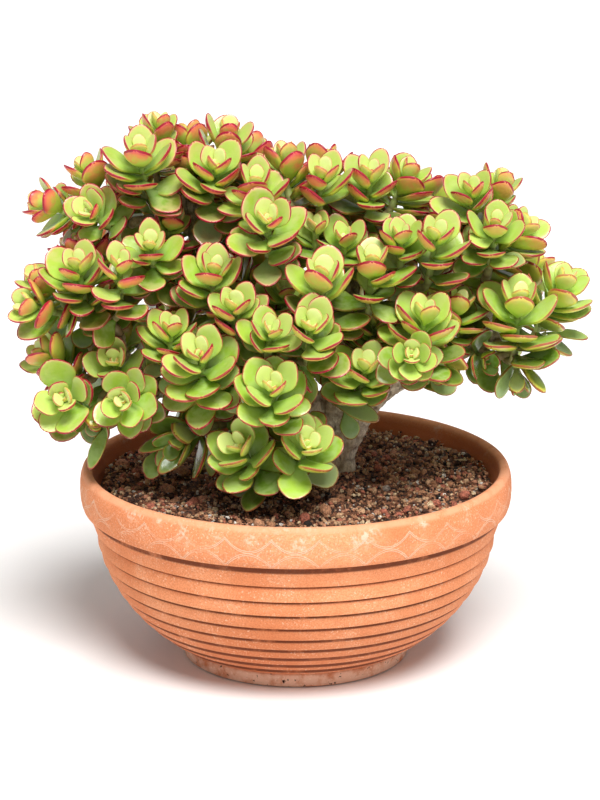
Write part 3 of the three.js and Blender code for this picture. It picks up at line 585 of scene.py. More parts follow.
def makeBowl():
    piece = spinLine(bowlLine(), bowl["steps"])
    drillDrains(piece)
    points = pointsOf(piece) / mm
    height = points[:, 2]
    radius = np.hypot(points[:, 0], points[:, 1])
    turn = np.arctan2(points[:, 1], points[:, 0])
    wallAt = np.array([insideRadius(z) for z in np.clip(height, 0, bowl["wallTop"])])
    outside = radius > wallAt + 0.45 * bowl["wall"]
    paintPoints(piece, "belowRib", np.where(outside, belowRib(radius, height), 99))
    within = (radius < collarInside + 1) & ~outside & (height > bowl["floorTop"] - 1)
    onCollar = (height > bowl["wallTop"]) & (radius < collarInside + 0.7)
    paintPoints(piece, "inside", (within | onCollar).astype(float))
    # The throwing isn't quite true: the wall runs in by up to half a millimetre, never out.
    wobble = 0.5 + 0.25 * np.sin(2 * turn + 0.7) + 0.25 * np.sin(3 * turn + height * 0.04)
    shrink = 1 - 0.5 * wobble * smoothStep(10, 60, height) / np.maximum(radius, 40)
    points[:, :2] *= shrink[:, None]
    movePoints(piece, points * mm)
    dress(piece, "terracottaBowl", "clay", 42)
    standFor(piece, "terracotta", "bowl")


makeBowl()
print("bowl thrown")


mix = {
    "level": 151, "edgeBelow": 3, "turnBelow": 8, "wallAir": 1, "floorAir": 0.4, "edgeAir": 0.6,
    "edgeRise": 3, "flatEdge": 12, "lump": 2.6, "trunkAt": (28, 6), "steps": 150, "topRings": 52,
    "mound": 6, "moundReach": 95, "heap": 8, "heapReach": 38, "heapBefore": 18,
    "rough": 2.6, "roughSize": 0.09, "bareRound": 21, "rise": 0.35, "sink": 0.1, "toneSpread": 0.04,
    "seed": 11,
}


def mixHeight(x, y):
    atX, atY = mix["trunkAt"]
    away = np.hypot(x - atX, y - atY)
    lumps = np.sin(x * 0.093 + 1.3) * np.cos(y * 0.11 - 0.4) + 0.6 * np.sin(x * 0.21 - y * 0.17)
    near = np.hypot(x - atX, y - atY + mix["heapBefore"])
    mound = mix["mound"] * np.exp(-(away / mix["moundReach"]) ** 2)
    rise = mound + mix["heap"] * np.exp(-(near / mix["heapReach"]) ** 2)
    edge = mix["edgeRise"] * smoothStep(110, 150, np.hypot(x, y))
    return mix["level"] + rise + edge + mix["lump"] * lumps


def wallInside(z):
    start = bowl["insideHeights"][0]
    foot = insideRadius(start)
    return foot + (z - start) / (bowl["height"] - 5 - start) * (collarInside - foot)


def makeMix():
    level, air, bottom = mix["level"], mix["wallAir"], bowl["floorTop"] + mix["floorAir"]
    line = [(0, bottom), (insideRadius(insideCorner) - bowl["floorTurn"] - air, bottom)]
    line += [(insideRadius(z) - air, z) for z in [insideCorner + 1, *reversed(bowl["insideHeights"])]]
    edge = wallInside(level - mix["edgeBelow"]) - mix["edgeAir"]
    line += [(edge - 1.2, level - mix["turnBelow"]), (edge, level - mix["edgeBelow"])]
    line += [(edge * (1 - share), level) for share in np.linspace(0.004, 1, mix["topRings"])]
    piece = spinLine(line, mix["steps"])
    points = pointsOf(piece) / mm
    top = points[:, 2] > level - 1
    rise = mixHeight(points[:, 0], points[:, 1]) - level
    rough = np.array([noise.fractal(Vector(p) * mix["roughSize"], 0.8, 2.1, 4) for p in points])
    inward = smoothStep(edge, edge - mix["flatEdge"], np.hypot(points[:, 0], points[:, 1]))
    points[:, 2] += np.where(top, rise * inward + (mix["rough"] * rough - 1), 0)
    movePoints(piece, points * mm)
    paintPoints(piece, "tone", 0)
    paintPoints(piece, "bed", 1)
    dress(piece, "pottingMixBed", "crumb")
    standFor(piece, "potting_mix", "potting_mix")


# A crumb's pattern: a small ball pushed out of round.
def makeCrumbPattern(name, detail, squeeze, ragged):
    piece = newPiece(bpy.ops.mesh.primitive_ico_sphere_add, subdivisions=detail, radius=mm)
    bpy.ops.object.mode_set(mode="EDIT")
    bpy.ops.mesh.select_all(action="SELECT")
    bpy.ops.transform.resize(value=squeeze)
    bpy.ops.transform.vertex_random(offset=ragged * mm, seed=len(name))
    bpy.ops.object.mode_set(mode="OBJECT")
    piece.name = name
    return piece


# Crumbs lie on the bed, each turned its own way and a little sunk.
def crumbsFrom(pattern, count, sizes, tones, rnd):
    edge = wallInside(mix["level"]) - 2
    made = 0
    while made < count:
        x, y = rnd.uniform(-edge, edge), rnd.uniform(-edge, edge)
        size = sizes[0] + (sizes[1] - sizes[0]) * rnd.random() ** 2
        fromTrunk = math.hypot(x - mix["trunkAt"][0], y - mix["trunkAt"][1])
        if math.hypot(x, y) > edge - size or fromTrunk < mix["bareRound"]:
            continue
        piece = copyOf(pattern)
        angle = rnd.uniform(0, 6.28)
        turn = Matrix.Rotation(angle, 4, (rnd.random() - 0.5, rnd.random() - 0.5, rnd.random()))
        z = float(mixHeight(x, y)) + size * (mix["rise"] * rnd.random() - mix["sink"])
        piece.data.transform(Matrix.Translation((x * mm, y * mm, z * mm)) @ turn @ Matrix.Scale(size, 4))
        paintPoints(piece, "tone", rnd.choice(tones) + rnd.uniform(-mix["toneSpread"], mix["toneSpread"]))
        made += 1
        yield piece


browns = [0.06, 0.2, 0.2, 0.36, 0.36, 0.5, 0.5, 0.65, 0.74, 0.83]
# Name, pattern, how many, least and largest size, and tones.
crumbKinds = [
    ("soilCrumbs", ("crumb", 1, (1, 0.8, 0.7), 0.24), 7000, (1, 2.5),
     browns + [0.88, 0.88, 0.93, 0.97, 0.99]),
    ("soilPebbles", ("pebble", 2, (1, 0.85, 0.75), 0.18), 560, (2, 4), browns + [0.65, 0.74, 0.88, 0.93]),
    ("lavaStones", ("lavaStone", 2, (1, 0.9, 0.75), 0.2), 60, (3.4, 7.6),
     [0.65, 0.65, 0.74, 0.5, 0.36, 0.93]),
    ("barkChips", ("chip", 1, (2.6, 0.8, 0.35), 0.2), 150, (1.4, 3.2), [0.36, 0.5, 0.88, 0.93, 0.97]),
]


def makeCrumbs():
    rnd = random.Random(mix["seed"])
    for name, form, *values in crumbKinds:
        pattern = makeCrumbPattern(*form)
        joined = joinAsMade(crumbsFrom(pattern, *values, rnd), name)
        bpy.data.objects.remove(pattern)
        joined.data.materials.append(finishes["crumb"])
        standFor(joined, "potting_mix")


makeMix()
makeCrumbs()
print("bowl filled")


# The plant grows by the same rule as the solids'. Limbs: the radius at the start and at the end, and the
# points that they go through.
limbs = {
    "right": ((17, 7), [(31, 6, 168), (45, 4, 197), (64, 0, 228), (96, -6, 250), (134, -10, 266),
                        (160, -14, 286)]),
    "middle": ((17, 6.5), [(30, 6, 168), (34, 8, 215), (38, 6, 268), (46, 2, 320), (56, 0, 362)]),
    "leftHigh": ((16, 6.5), [(28, 6, 168), (8, 6, 220), (-30, 4, 285), (-70, 2, 342), (-98, -2, 402)]),
    "leftLow": ((15, 6), [(26, 4, 168), (-14, -6, 202), (-68, -22, 230), (-120, -30, 246),
                          (-160, -30, 262)]),
    "front": ((13, 7), [(28, 2, 168), (20, -28, 184), (4, -58, 194)]),
    "backRight": ((15, 6.5), [(31, 10, 168), (60, 44, 212), (98, 72, 264), (128, 82, 318)]),
    "backLeft": ((15, 6.5), [(27, 10, 168), (-6, 46, 212), (-58, 74, 264), (-104, 76, 322)]),
}

# Pairs of a rosette, counted from the bud outwards.
pairs = {
    "length": [0.47, 0.66, 0.88, 1.03, 1.03, 0.98, 0.93],
    "width": [0.37, 0.34, 0.33, 0.33, 0.34, 0.35, 0.35],
    "open": [30, 39, 49, 59, 70, 82, 95],
    "drop": [1, 5, 11, 18, 27, 38, 50],
    "curl": [14, 22, 26, 25, 20, 14, 8],
    "belowLast": 8,
}
leafForm = {"thickness": 0.18, "widest": 0.6, "cup": 0.14, "standard": 38, "clear": 1.1,
            "clearOfStems": 0.6, "freeFoot": 0.12, "farthest": 4}
stray = {"turn": 6, "open": 4, "length": 0.07, "roll": 7, "width": 0.08}
twigForm = {"fork": 4.2, "side": 2.6, "foot": 3.2, "tip": 2.1, "sproutAt": 0.12, "joinAt": 0.08,
            "forkStep": 0.16, "ease": 0.6, "pull": 0.4, "ringPitch": 3, "rings": (0.95, 1.1)}
stemForm = {"share": 0.8, "thickest": 8.5, "tip": 5.2, "greenLength": 28, "greenMost": 0.6, "woodLeast": 7,
            "straightFor": 0.3}
bends = [(0, 1), (-12, 1), (12, 1), (-22, 0.95), (20, 0.95), (-8, 0.84), (10, 0.84), (-24, 0.8), (22, 0.76)]

# Name, limb, where on the limb, and the rosettes: the tip's x, y and z, where it leans to and how far, its
# turn, its longest leaf and how many pairs it has.
leafyBranches = [
    ("top_left", "leftHigh", 0.97, [
        (-127, -45, 446, 262, 26, 90, 40, 6), (-114, 5, 458, 60, 8, 30, 32, 5)]),
    ("top_left_inner", "leftHigh", 0.9, [
        (-66, -44, 434, 285, 30, 50, 40, 6), (-57, -4, 452, 330, 14, 5, 38, 5),
        (-90, 26, 445, 100, 16, 40, 32, 4)]),
    ("far_left_high", "leftHigh", 0.84, [
        (-172, -8, 424, 165, 26, 20, 34, 5), (-209, -12, 398, 190, 62, 35, 33, 5),
        (-168, -50, 398, 240, 55, 60, 33, 5)]),
    ("left_pocket", "leftHigh", 0.72, [
        (-118, -72, 374, 265, 38, 90, 35, 5), (-104, -22, 382, 300, 30, 10, 38, 5)]),
    ("left_upper", "leftLow", 0.8, [
        (-178, -68, 356, 255, 24, 60, 38, 6), (-143, -84, 360, 275, 26, 30, 39, 6)]),
    ("far_left", "leftLow", 0.97, [
        (-212, -30, 336, 190, 42, 15, 35, 5), (-176, -22, 360, 150, 12, 50, 34, 5),
        (-217, -58, 322, 215, 66, 40, 38, 5)]),
    ("left_lower", "leftLow", 0.99, [
        (-208, -42, 276, 190, 52, 70, 34, 5), (-190, -78, 248, 258, 72, 25, 41, 6)]),
    ("left_front", "leftLow", 0.6, [
        (-141, -98, 252, 262, 74, 30, 33, 6), (-150, -62, 274, 262, 48, 85, 35, 5)]),
    ("front_left", "leftLow", 0.52, [
        (-102, -84, 306, 275, 22, 40, 33, 5), (-78, -116, 293, 260, 38, 55, 43, 6)]),
    ("middle_left", "leftHigh", 0.5, [
        (-66, -82, 355, 280, 26, 75, 38, 5), (-50, -104, 330, 268, 32, 45, 38, 6)]),
    ("middle_front", "middle", 0.42, [
        (-20, -122, 315, 280, 34, 20, 32, 5), (12, -130, 321, 275, 40, 60, 40, 6)]),
    ("low_middle", "front", 0.6, [(-19, -138, 272, 270, 40, 40, 40, 6)]),
    ("low_front", "front", 0.98, [
        (-45, -112, 214, 240, 46, 70, 39, 7), (9, -122, 219, 285, 44, 20, 40, 7)]),
    ("low_right", "right", 0.42, [(57, -92, 277, 280, 32, 65, 38, 5)]),
    ("right_front", "right", 0.7, [
        (104, -104, 322, 280, 18, 30, 40, 6), (93, -134, 300, 272, 66, 0, 30, 5),
        (134, -62, 322, 330, 20, 70, 33, 5)]),
    ("right", "right", 0.97, [(183, -74, 328, 280, 15, 85, 43, 6), (220, -38, 334, 345, 26, 5, 39, 7)]),
    ("under_right", "right", 0.5, [(114, -68, 270, 285, 80, 40, 34, 4)]),
    ("under_right_outer", "right", 0.8, [(157, -60, 276, 295, 92, 10, 35, 4)]),
    ("hanging_right", "right", 0.84, [(184, -62, 262, 285, 150, 20, 40, 3)]),
    ("hanging_left", "leftLow", 0.92, [(-166, -58, 226, 250, 140, 80, 42, 3)]),
    ("hanging_middle", "leftLow", 0.42, [(-94, -66, 206, 222, 105, 70, 44, 4)]),
    ("right_high", "backRight", 0.98, [
        (145, -38, 412, 262, 26, 45, 36, 6), (170, -2, 410, 20, 24, 15, 35, 5)]),
    ("right_shoulder", "right", 0.9, [
        (163, -66, 390, 278, 28, 80, 35, 6), (187, -32, 380, 350, 40, 35, 36, 5)]),
    ("right_upper", "middle", 0.9, [
        (114, -84, 384, 285, 26, 50, 40, 6), (86, -70, 380, 270, 22, 20, 33, 5)]),
    ("middle_right", "middle", 0.72, [
        (40, -52, 374, 270, 24, 25, 36, 5), (62, -86, 362, 278, 20, 85, 40, 6)]),
    ("middle_crown", "middle", 0.6, [(22, -104, 355, 268, 18, 80, 43, 6)]),
    ("crown_left", "middle", 0.86, [
        (-22, -94, 400, 270, 40, 35, 40, 6), (-32, -56, 422, 265, 22, 80, 38, 5)]),
    ("crown_middle", "middle", 0.98, [
        (-8, -24, 436, 120, 10, 20, 36, 5), (22, -46, 427, 280, 24, 60, 39, 6)]),
    ("crown_right", "middle", 0.99, [
        (61, -30, 424, 275, 20, 50, 38, 5), (92, -8, 420, 350, 24, 10, 35, 5),
        (100, 28, 404, 60, 22, 60, 34, 4)]),
    ("back_left_high", "backLeft", 0.98, [
        (-140, 44, 408, 150, 26, 30, 36, 4), (-104, 78, 400, 100, 30, 75, 39, 4)]),
    ("back_far_left", "backLeft", 0.9, [
        (-186, 34, 350, 165, 46, 20, 38, 4), (-158, 84, 336, 130, 50, 60, 39, 4)]),
    ("back_low_left", "backLeft", 0.55, [
        (-164, 52, 276, 155, 62, 45, 36, 4), (-110, 118, 276, 110, 62, 0, 40, 4)]),
    ("back_crown", "backLeft", 0.75, [
        (-40, 40, 430, 95, 18, 45, 38, 4), (-52, 92, 384, 95, 42, 10, 40, 4)]),
    ("back_middle", "middle", 0.8, [(22, 22, 424, 90, 14, 70, 36, 4), (8, 88, 392, 90, 36, 30, 40, 4)]),
    ("back_low", "backLeft", 0.4, [
        (-44, 136, 318, 100, 56, 55, 40, 4), (-14, 132, 250, 95, 76, 25, 36, 4)]),
    ("back_low_right", "backRight", 0.5, [
        (32, 130, 286, 92, 62, 35, 35, 4), (108, 106, 276, 50, 64, 70, 35, 4)]),
    ("back_right_high", "backRight", 0.9, [
        (60, 62, 400, 80, 28, 0, 38, 4), (128, 58, 384, 40, 32, 50, 38, 4)]),
    ("back_right", "backRight", 0.75, [
        (74, 122, 336, 75, 50, 80, 40, 4), (140, 104, 322, 45, 52, 25, 39, 4)]),
    ("back_far_right", "right", 0.8, [(200, 26, 334, 20, 46, 60, 39, 4), (184, 64, 300, 40, 64, 5, 36, 4)]),
    ("inner_middle", "middle", 0.5, [(-9, -56, 331, 270, 30, 15, 33, 4)]),
    ("inner_right", "right", 0.36, [(66, -46, 302, 285, 25, 40, 33, 4)]),
    ("inner_right_outer", "right", 0.74, [(136, -44, 316, 300, 20, 75, 32, 4)]),
    ("inner_crown", "middle", 0.78, [(16, -50, 384, 265, 24, 50, 32, 4)]),
]


def unit(v):
    return v / np.linalg.norm(v)


def turned(v, axis, angle):
    along = axis * np.dot(axis, v) * (1 - math.cos(angle))
    return v * math.cos(angle) + np.cross(axis, v) * math.sin(angle) + along


def squared(v, axis):
    return unit(v - axis * np.dot(v, axis))


def bezierPoint(points, t):
    points = [np.array(p, float) for p in points]
    while len(points) > 1:
        points = [a + (b - a) * t for a, b in zip(points, points[1:])]
    return points[0]


# A smooth curve through the limb's points, whose speed follows the root of their spacing.
def limbPoint(points, t):
    points = [np.array(p, float) for p in points]
    span = min(int(t * (len(points) - 1)), len(points) - 2)
    t = t * (len(points) - 1) - span
    before = points[span - 1] if span else 2 * points[0] - points[1]
    after = points[span + 2] if span + 2 < len(points) else 2 * points[-1] - points[-2]
    a, b = points[span], points[span + 1]
    d0, d1, d2 = (math.sqrt(np.linalg.norm(q - p)) for p, q in ((before, a), (a, b), (b, after)))
    leave = ((a - before) / d0 - (b - before) / (d0 + d1) + (b - a) / d1) * d1
    arrive = ((b - a) / d1 - (after - a) / (d1 + d2) + (after - b) / d2) * d1
    square, cube = 3 * (b - a) - 2 * leave - arrive, 2 * (a - b) + leave + arrive
    return a + leave * t + square * t * t + cube * t ** 3


# A curve by its length: the point and the heading at a share of it.
class Path:
    def __init__(self, pointAt):
        self.pointAt = pointAt
        self.shares = np.linspace(0, 1, 201)
        samples = np.array([pointAt(t) for t in self.shares])
        self.gone = np.concatenate([[0], np.cumsum(np.linalg.norm(np.diff(samples, axis=0), axis=1))])
        self.length = self.gone[-1]

    def inner(self, share):
        return float(np.interp(share * self.length, self.gone, self.shares))

    def even(self, share):
        return self.pointAt(self.inner(share))

    def heading(self, t):
        low, high = max(t - 1e-4, 0), min(t + 1e-4, 1)
        return unit(self.pointAt(high) - self.pointAt(low))

    def evenHeading(self, share):
        return self.heading(self.inner(share))


def bezier(*points):
    return Path(lambda t: bezierPoint(points, t))


def straight(start, end):
    return Path(lambda t: start + (end - start) * t)


def limbPath(points):
    return Path(lambda t: limbPoint(points, t))


# Places on a path with their radii, up to a share of it.
def tapered(path, radii, steps, reach=1):
    start, end = radii
    return [(path.even(reach * i / steps), start + (end - start) * i / steps) for i in range(steps + 1)]


limbPaths = {name: limbPath(points) for name, (radii, points) in limbs.items()}


# A fixed draw from -1 to 1 for one leaf.
def draw(rosette, pair, side, channel):
    wave = math.sin(rosette * 12.9898 + pair * 78.233 + side * 37.719 + channel * 4.581) * 43758.5453
    return 2 * (wave - math.floor(wave)) - 1


def shootOf(rosette, number):
    *at, azimuth, tilt, turn, size, count = rosette
    azimuth, tilt = math.radians(azimuth), math.radians(tilt)
    aside = math.sin(tilt)
    axis = np.array((aside * math.cos(azimuth), aside * math.sin(azimuth), math.cos(tilt)))
    across = turned(squared(np.array((1.0, 0, 0)), axis), axis, math.radians(turn))
    scale = size / leafForm["standard"]
    drops = pairs["drop"] + [pairs["drop"][-1] + pairs["belowLast"]]
    last = (drops[count - 1] + drops[count]) / 2
    tip = np.array(at, float)
    foot = tip - axis * last * scale
    return {"number": number, "size": size, "scale": scale, "pairs": count, "axis": axis, "across": across,
            "onward": np.cross(axis, across), "tip": tip, "foot": foot, "core": straight(foot, tip)}


branches, allShoots = [], []


def branchOf(name, limb, start, rosettes):
    path = limbPaths[limb]
    origin, along = path.even(start), path.evenHeading(start)
    shoots = [shootOf(rosette, len(allShoots) + i) for i, rosette in enumerate(rosettes)]
    for shoot in shoots:
        shoot["old"] = name.startswith(("hanging", "under"))
        shoot["owner"] = len(branches)
    middle = sum(shoot["foot"] for shoot in shoots) / len(shoots)
    reach = np.linalg.norm(middle - origin)
    thick, thin = limbs[limb][0]
    girth = thick + (thin - thick) * start
    green, least = stemForm["greenLength"] / reach, (girth + stemForm["woodLeast"]) / reach
    fork = middle + (origin - middle) * min(stemForm["greenMost"], green, 1 - least)
    wood = bezier(origin, origin + along * reach * stemForm["straightFor"], fork)
    for i, shoot in enumerate(shoots):
        foot, sprout, away = shoot["foot"], fork, wood.heading(1)
        shoot["startWidth"] = twigForm["side"] if i else twigForm["fork"]
        if i:
            first, step = shoots[0]["twig"], twigForm["forkStep"] * i
            sprout = fork + (shoots[0]["foot"] - fork) * (twigForm["sproutAt"] + step)
            shoot["from"] = first.pointAt(twigForm["joinAt"] + step)
            heading = first.heading(0.3)
            away = heading + (unit(foot - sprout) - heading) * twigForm["ease"]
        pull = np.linalg.norm(foot - sprout) * twigForm["pull"]
        shoot["twig"] = bezier(sprout, sprout + away * pull, foot - shoot["axis"] * pull, foot)
    radius = (min(girth * stemForm["share"], stemForm["thickest"]), stemForm["tip"])
    return {"name": name, "wood": wood, "shoots": shoots, "radius": radius, "stalks": []}


for row in leafyBranches:
    branches.append(branchOf(*row))
    allShoots += branches[-1]["shoots"]


# Half the width of a leaf at a share of its length, as a share of its widest.
def outline(u):
    past = np.clip((u - leafForm["widest"]) / (1 - leafForm["widest"]), 0, 1)
    t = np.clip(u / leafForm["widest"], 0, 1)
    return np.where(u > leafForm["widest"], (1 - past ** 2) ** 0.5, 0.17 + 0.83 * t * t * (3 - 2 * t))


# Leaves that only fill: the air round them, how loosely they are set, the levels that they grow at in a
# rosette, their size on wood and how much shorter the last is. For each kind of stem: the share that stays
# bare, the length between two pairs and the level whose leaves they have.
filling = {"space": 0.25, "loose": 3.5, "levels": [4, 2.5, 3.5, 5, 4.5, 5.5], "woodSize": 34,
           "shorter": 0.12,
           "twig": (0.15, 8, 4.8), "wood": (0.15, 10, 4.4), "limb": (0.5, 10, 4.2)}


# Half a pair is a level between two pairs.
def pairAt(key, pair):
    return float(np.interp(pair, range(len(pairs[key])), pairs[key]))


# Sides 0 and 1 are the pair's own, 2 and 3 are square to them.
def leafOf(shoot, pair, side, bend=0, shrink=1):
    number, axis, size = shoot.get("seed", shoot["number"]), shoot["axis"], shoot["size"]
    loose = filling["loose"] if side > 1 or pair % 1 or "seed" in shoot else 1
    byTurn, byOpen, byLength, byRoll, byWidth = (draw(number, pair, side, i) for i in range(1, 6))
    turn = math.radians(90 * (pair + side // 2) + 180 * side + stray["turn"] * loose * byTurn)
    opening = math.radians(pairAt("open", pair) + stray["open"] * loose * byOpen + bend * min(1, pair / 3))
    length = size * pairAt("length", pair) * (1 + stray["length"] * byLength) * shrink
    outwards = shoot["across"] * math.cos(turn) + shoot["onward"] * math.sin(turn)
    direction = axis * math.cos(opening) + outwards * math.sin(opening)
    above = turned(squared(axis, direction), direction, math.radians(stray["roll"] * byRoll))
    base = shoot["tip"] - axis * pairAt("drop", pair) * shoot["scale"] + outwards * shoot.get("girth", 0)
    return {"shoot": shoot, "pair": pair, "length": length, "base": base, "direction": direction,
            "above": above, "right": np.cross(above, direction),
            "halfWidth": length * pairAt("width", pair) * (1 + stray["width"] * byWidth),
            "thickness": size * leafForm["thickness"] * (0.6 + 0.4 * pairAt("length", pair)),
            "curl": math.radians(pairAt("curl", pair))}


# Points of a leaf: their share of its length, and how far to the right of its middle and above it they are.
def onLeaf(leaf, u, right, above):
    lift = leaf["length"] * leaf["curl"] * u * u / 2
    reach = leaf["length"] * u * (1 - leaf["curl"] ** 2 * u * u / 6)
    return (leaf["base"] + np.outer(reach, leaf["direction"]) + np.outer(right, leaf["right"]) +
            np.outer(lift + above, leaf["above"]))


# The ten points of a leaf that feel what is near it.
feelAlong = np.array([0.35, 0.6, 0.84, 1, 0.5, 0.5, 0.7, 0.7, 0.88, 0.88])
feelAcross = np.array([0, 0, 0, 0, -1, 1, -1, 1, -1, 1.0])


def feelersOf(leaf):
    right = leaf["halfWidth"] * outline(feelAlong) * feelAcross
    cup = leafForm["cup"] * leaf["halfWidth"] * feelAcross * feelAcross * outline(feelAlong)
    return onLeaf(leaf, feelAlong, right, cup)


# Which points lie in which leaves: the leaves' values are arrays, one row a leaf.
def held(points, base, direction, right, above, length, halfWidth, thickness, curl, clear):
    away = points - base
    u = np.sum(away * direction, -1) / length
    inside = np.minimum(u, 1)
    height = np.sum(away * above, -1) - length * curl * inside ** 2 / 2
    side = np.abs(np.sum(away * right, -1))
    along = (u >= leafForm["freeFoot"]) & (u <= 1 + clear / length)
    return (along & (np.abs(height) <= thickness / 2 + clear) &
            (side < halfWidth * outline(inside) + clear))


leafValues = ("base", "direction", "right", "above", "length", "halfWidth", "thickness", "curl")


def stemSamples():
    lines = [(tapered(path, limbs[name][0], 40), -1) for name, path in limbPaths.items()]
    lines += [(tapered(branch["wood"], branch["radius"], 16), -1) for branch in branches]
    for shoot in allShoots:
        lines.append((tapered(shoot["twig"], [twigForm["fork"]] * 2, 10), shoot["number"]))
        lines.append((tapered(shoot["core"], [twigForm["foot"]] * 2, 6), shoot["number"]))
    return np.array([(*place, radius, number) for line, number in lines for place, radius in line])


stems = stemSamples()


# How far leaves keep off the bowl and the mix.
keepOff = {"lip": 2, "rim": 3, "collar": 5, "mix": 2.5}


def hitsBowlOrMix(points):
    x, y, z = points.T
    radius = np.hypot(x, y)
    low = (z <= bowl["height"] + keepOff["lip"]) & (radius <= bowl["rimRadius"] + keepOff["rim"])
    wall = radius > collarInside - keepOff["collar"]
    return bool(np.any(low & (wall | (z < mixHeight(x, y) + keepOff["mix"]))))


# The leaves that are placed so far, as arrays with room for all.
room = 3200
placed = {"leaves": [], "number": np.zeros(room), "feelers": np.zeros((room, 10, 3))}
for key in leafValues:
    placed[key] = np.zeros((room, 3) if key in ("base", "direction", "right", "above") else room)


def isClear(leaf, space):
    feelers = leaf["feelers"]
    if hitsBowlOrMix(feelers):
        return False
    values = [leaf[key] for key in leafValues]
    others = stems[stems[:, 4] != leaf["shoot"]["number"]]
    if np.any(held(others[:, :3], *values, others[:, 3] + leafForm["clearOfStems"])):
        return False
    count = len(placed["leaves"])
    reach = np.linalg.norm(placed["base"][:count] - leaf["base"], axis=1)
    near = np.nonzero(reach <= leaf["length"] + placed["length"][:count] + leafForm["farthest"])[0]
    if not len(near):
        return True
    clear = np.where(placed["number"][near] == leaf["shoot"]["number"], 0, space)[:, None]
    if np.any(held(placed["feelers"][near], *values, clear)):
        return False
    rows = [placed[key][near] for key in leafValues]
    rows = [row[:, None, :] if row.ndim == 2 else row[:, None] for row in rows]
    return not np.any(held(feelers[None, :, :], *rows, clear))


def record(leaf):
    at = len(placed["leaves"])
    for key in (*leafValues, "feelers"):
        placed[key][at] = leaf[key]
    placed["number"][at] = leaf["shoot"]["number"]
    placed["leaves"].append(leaf)


# A leaf takes the first bend that keeps it clear, or is left out.
def place(shoot, pair, side, space):
    for bend, shrink in bends:
        leaf = leafOf(shoot, pair, side, bend, shrink)
        leaf["feelers"] = feelersOf(leaf)
        if space == filling["space"] and staysOpen(leaf["feelers"]):
            continue
        if isClear(leaf, space):
            record(leaf)
            return


# Leaves on the outer part of a stem, in pairs that turn a quarter each time. The owner is the leafy branch
# whose piece they are part of.
def leavesAlong(kind, path, radii, size, number, owner):
    bare, spacing, pair = filling[kind]
    count = int(path.length * (1 - bare) / spacing)
    for i in range(count):
        share = 1 - (i + 0.5) * spacing / path.length
        axis = path.evenHeading(share)
        aside = np.array((0, 1.0, 0)) if abs(axis[0]) > 0.9 else np.array((1.0, 0, 0))
        across = squared(aside, axis)
        scale = size / leafForm["standard"]
        holder = nearestStem(path.even(share))[1] if owner is None else owner
        girth = max(0, radii[0] + (radii[1] - radii[0]) * share - 1)
        node = {"number": number, "seed": 100 + number * 7 + i * 3 + holder, "owner": holder, "old": False,
                "axis": axis, "across": across, "onward": np.cross(axis, across), "girth": girth,
                "size": size * (1 - filling["shorter"] * i / count), "scale": scale,
                "tip": path.even(share) + axis * pairAt("drop", pair) * scale}
        for side in (0, 1) if i % 2 else (2, 3):
            place(node, pair, side, filling["space"])


# Old leaves that hang on their own: where the blade starts and ends, half its width and how silvery the
# skin is.
oldLeaves = [
    ((177, -30, 274), (187, -40, 243), 10.5, 0.2), ((148, -18, 273), (153, -40, 252), 10, 0.4),
    ((160, -12, 269), (170, -8, 249), 9.5, 0.3), ((98, -10, 253), (124, -45, 251), 11.5, 0.1),
    ((105, -20, 269), (128, -50, 266), 11, 0.5), ((127, -30, 274), (137, -34, 255), 9.5, 0.4),
    ((210, -20, 288), (246, -17, 287), 6.5, 0.9), ((-153, -60, 224), (-174, -75, 188), 7.5, 0.1),
    ((-168, -55, 224), (-175, -50, 200), 6, 0.3), ((-87, -45, 216), (-129, -70, 204), 9, 0.0),
    ((-112, -40, 195), (-124, -60, 175), 10, 0.4), ((-73, -50, 202), (-111, -85, 189), 9.5, 0.0),
    ((29, -66, 241), (68, -82, 235), 11.5, 1.0), ((41, -48, 229), (47, -58, 207), 9.5, 0.6),
    ((-162, -30, 305), (-180, -42, 282), 10, 0.4), ((-165, -20, 320), (-192, -34, 309), 10.5, 0.1),
    ((-171, -20, 293), (-184, -32, 262), 10.5, 0.3), ((-150, -36, 303), (-176, -52, 300), 10, 0.0),
    ((-157, -36, 252), (-172, -50, 234), 10, 0.4), ((-150, -30, 290), (-166, -48, 272), 10, 0.2),
    ((-76, -10, 347), (-60, -24, 362), 9.5, 0.1), ((-140, -20, 318), (-148, -44, 300), 10, 0.4),
]
# A stalk's radii are those at the stem, half way and at the blade.
oldForm = {"stalkFrom": 14, "stalk": (2.4, 1.7, 1.5), "facing": (0.1, -0.5, 0.85), "longer": 1.04,
           "thickness": 5.6, "curl": -16}


def nearestStem(point):
    found = []
    for i, branch in enumerate(branches):
        for path in (branch["wood"], *(shoot["twig"] for shoot in branch["shoots"])):
            places = [path.even(share) for share in np.linspace(0, 1, 21)]
            gaps = [np.linalg.norm(place - point) for place in places]
            found.append((min(gaps), i, places[int(np.argmin(gaps))]))
    return min(found, key=lambda row: row[0])


# An old leaf's blade starts at the nearest stem's side, on a stalk of its own where that is far.
def placeOldLeaves():
    for start, end, halfWidth, silver in oldLeaves:
        start, end = np.array(start, float), np.array(end, float)
        gap, owner, root = nearestStem(start)
        if gap < oldForm["stalkFrom"]:
            start = root
        else:
            places = (root, root + (start - root) * 0.5, start)
            branches[owner]["stalks"].append(list(zip(places, oldForm["stalk"])))
        direction = unit(end - start)
        above = squared(np.array(oldForm["facing"]), direction)
        leaf = {"shoot": {"number": -3, "old": True, "owner": owner}, "pair": 6, "base": start,
                "direction": direction, "above": above, "right": np.cross(above, direction),
                "length": np.linalg.norm(end - start) * oldForm["longer"], "halfWidth": halfWidth,
                "thickness": oldForm["thickness"], "curl": math.radians(oldForm["curl"]), "tint": silver}
        leaf["feelers"] = feelersOf(leaf)
        if not hitsBowlOrMix(leaf["feelers"]):
            record(leaf)


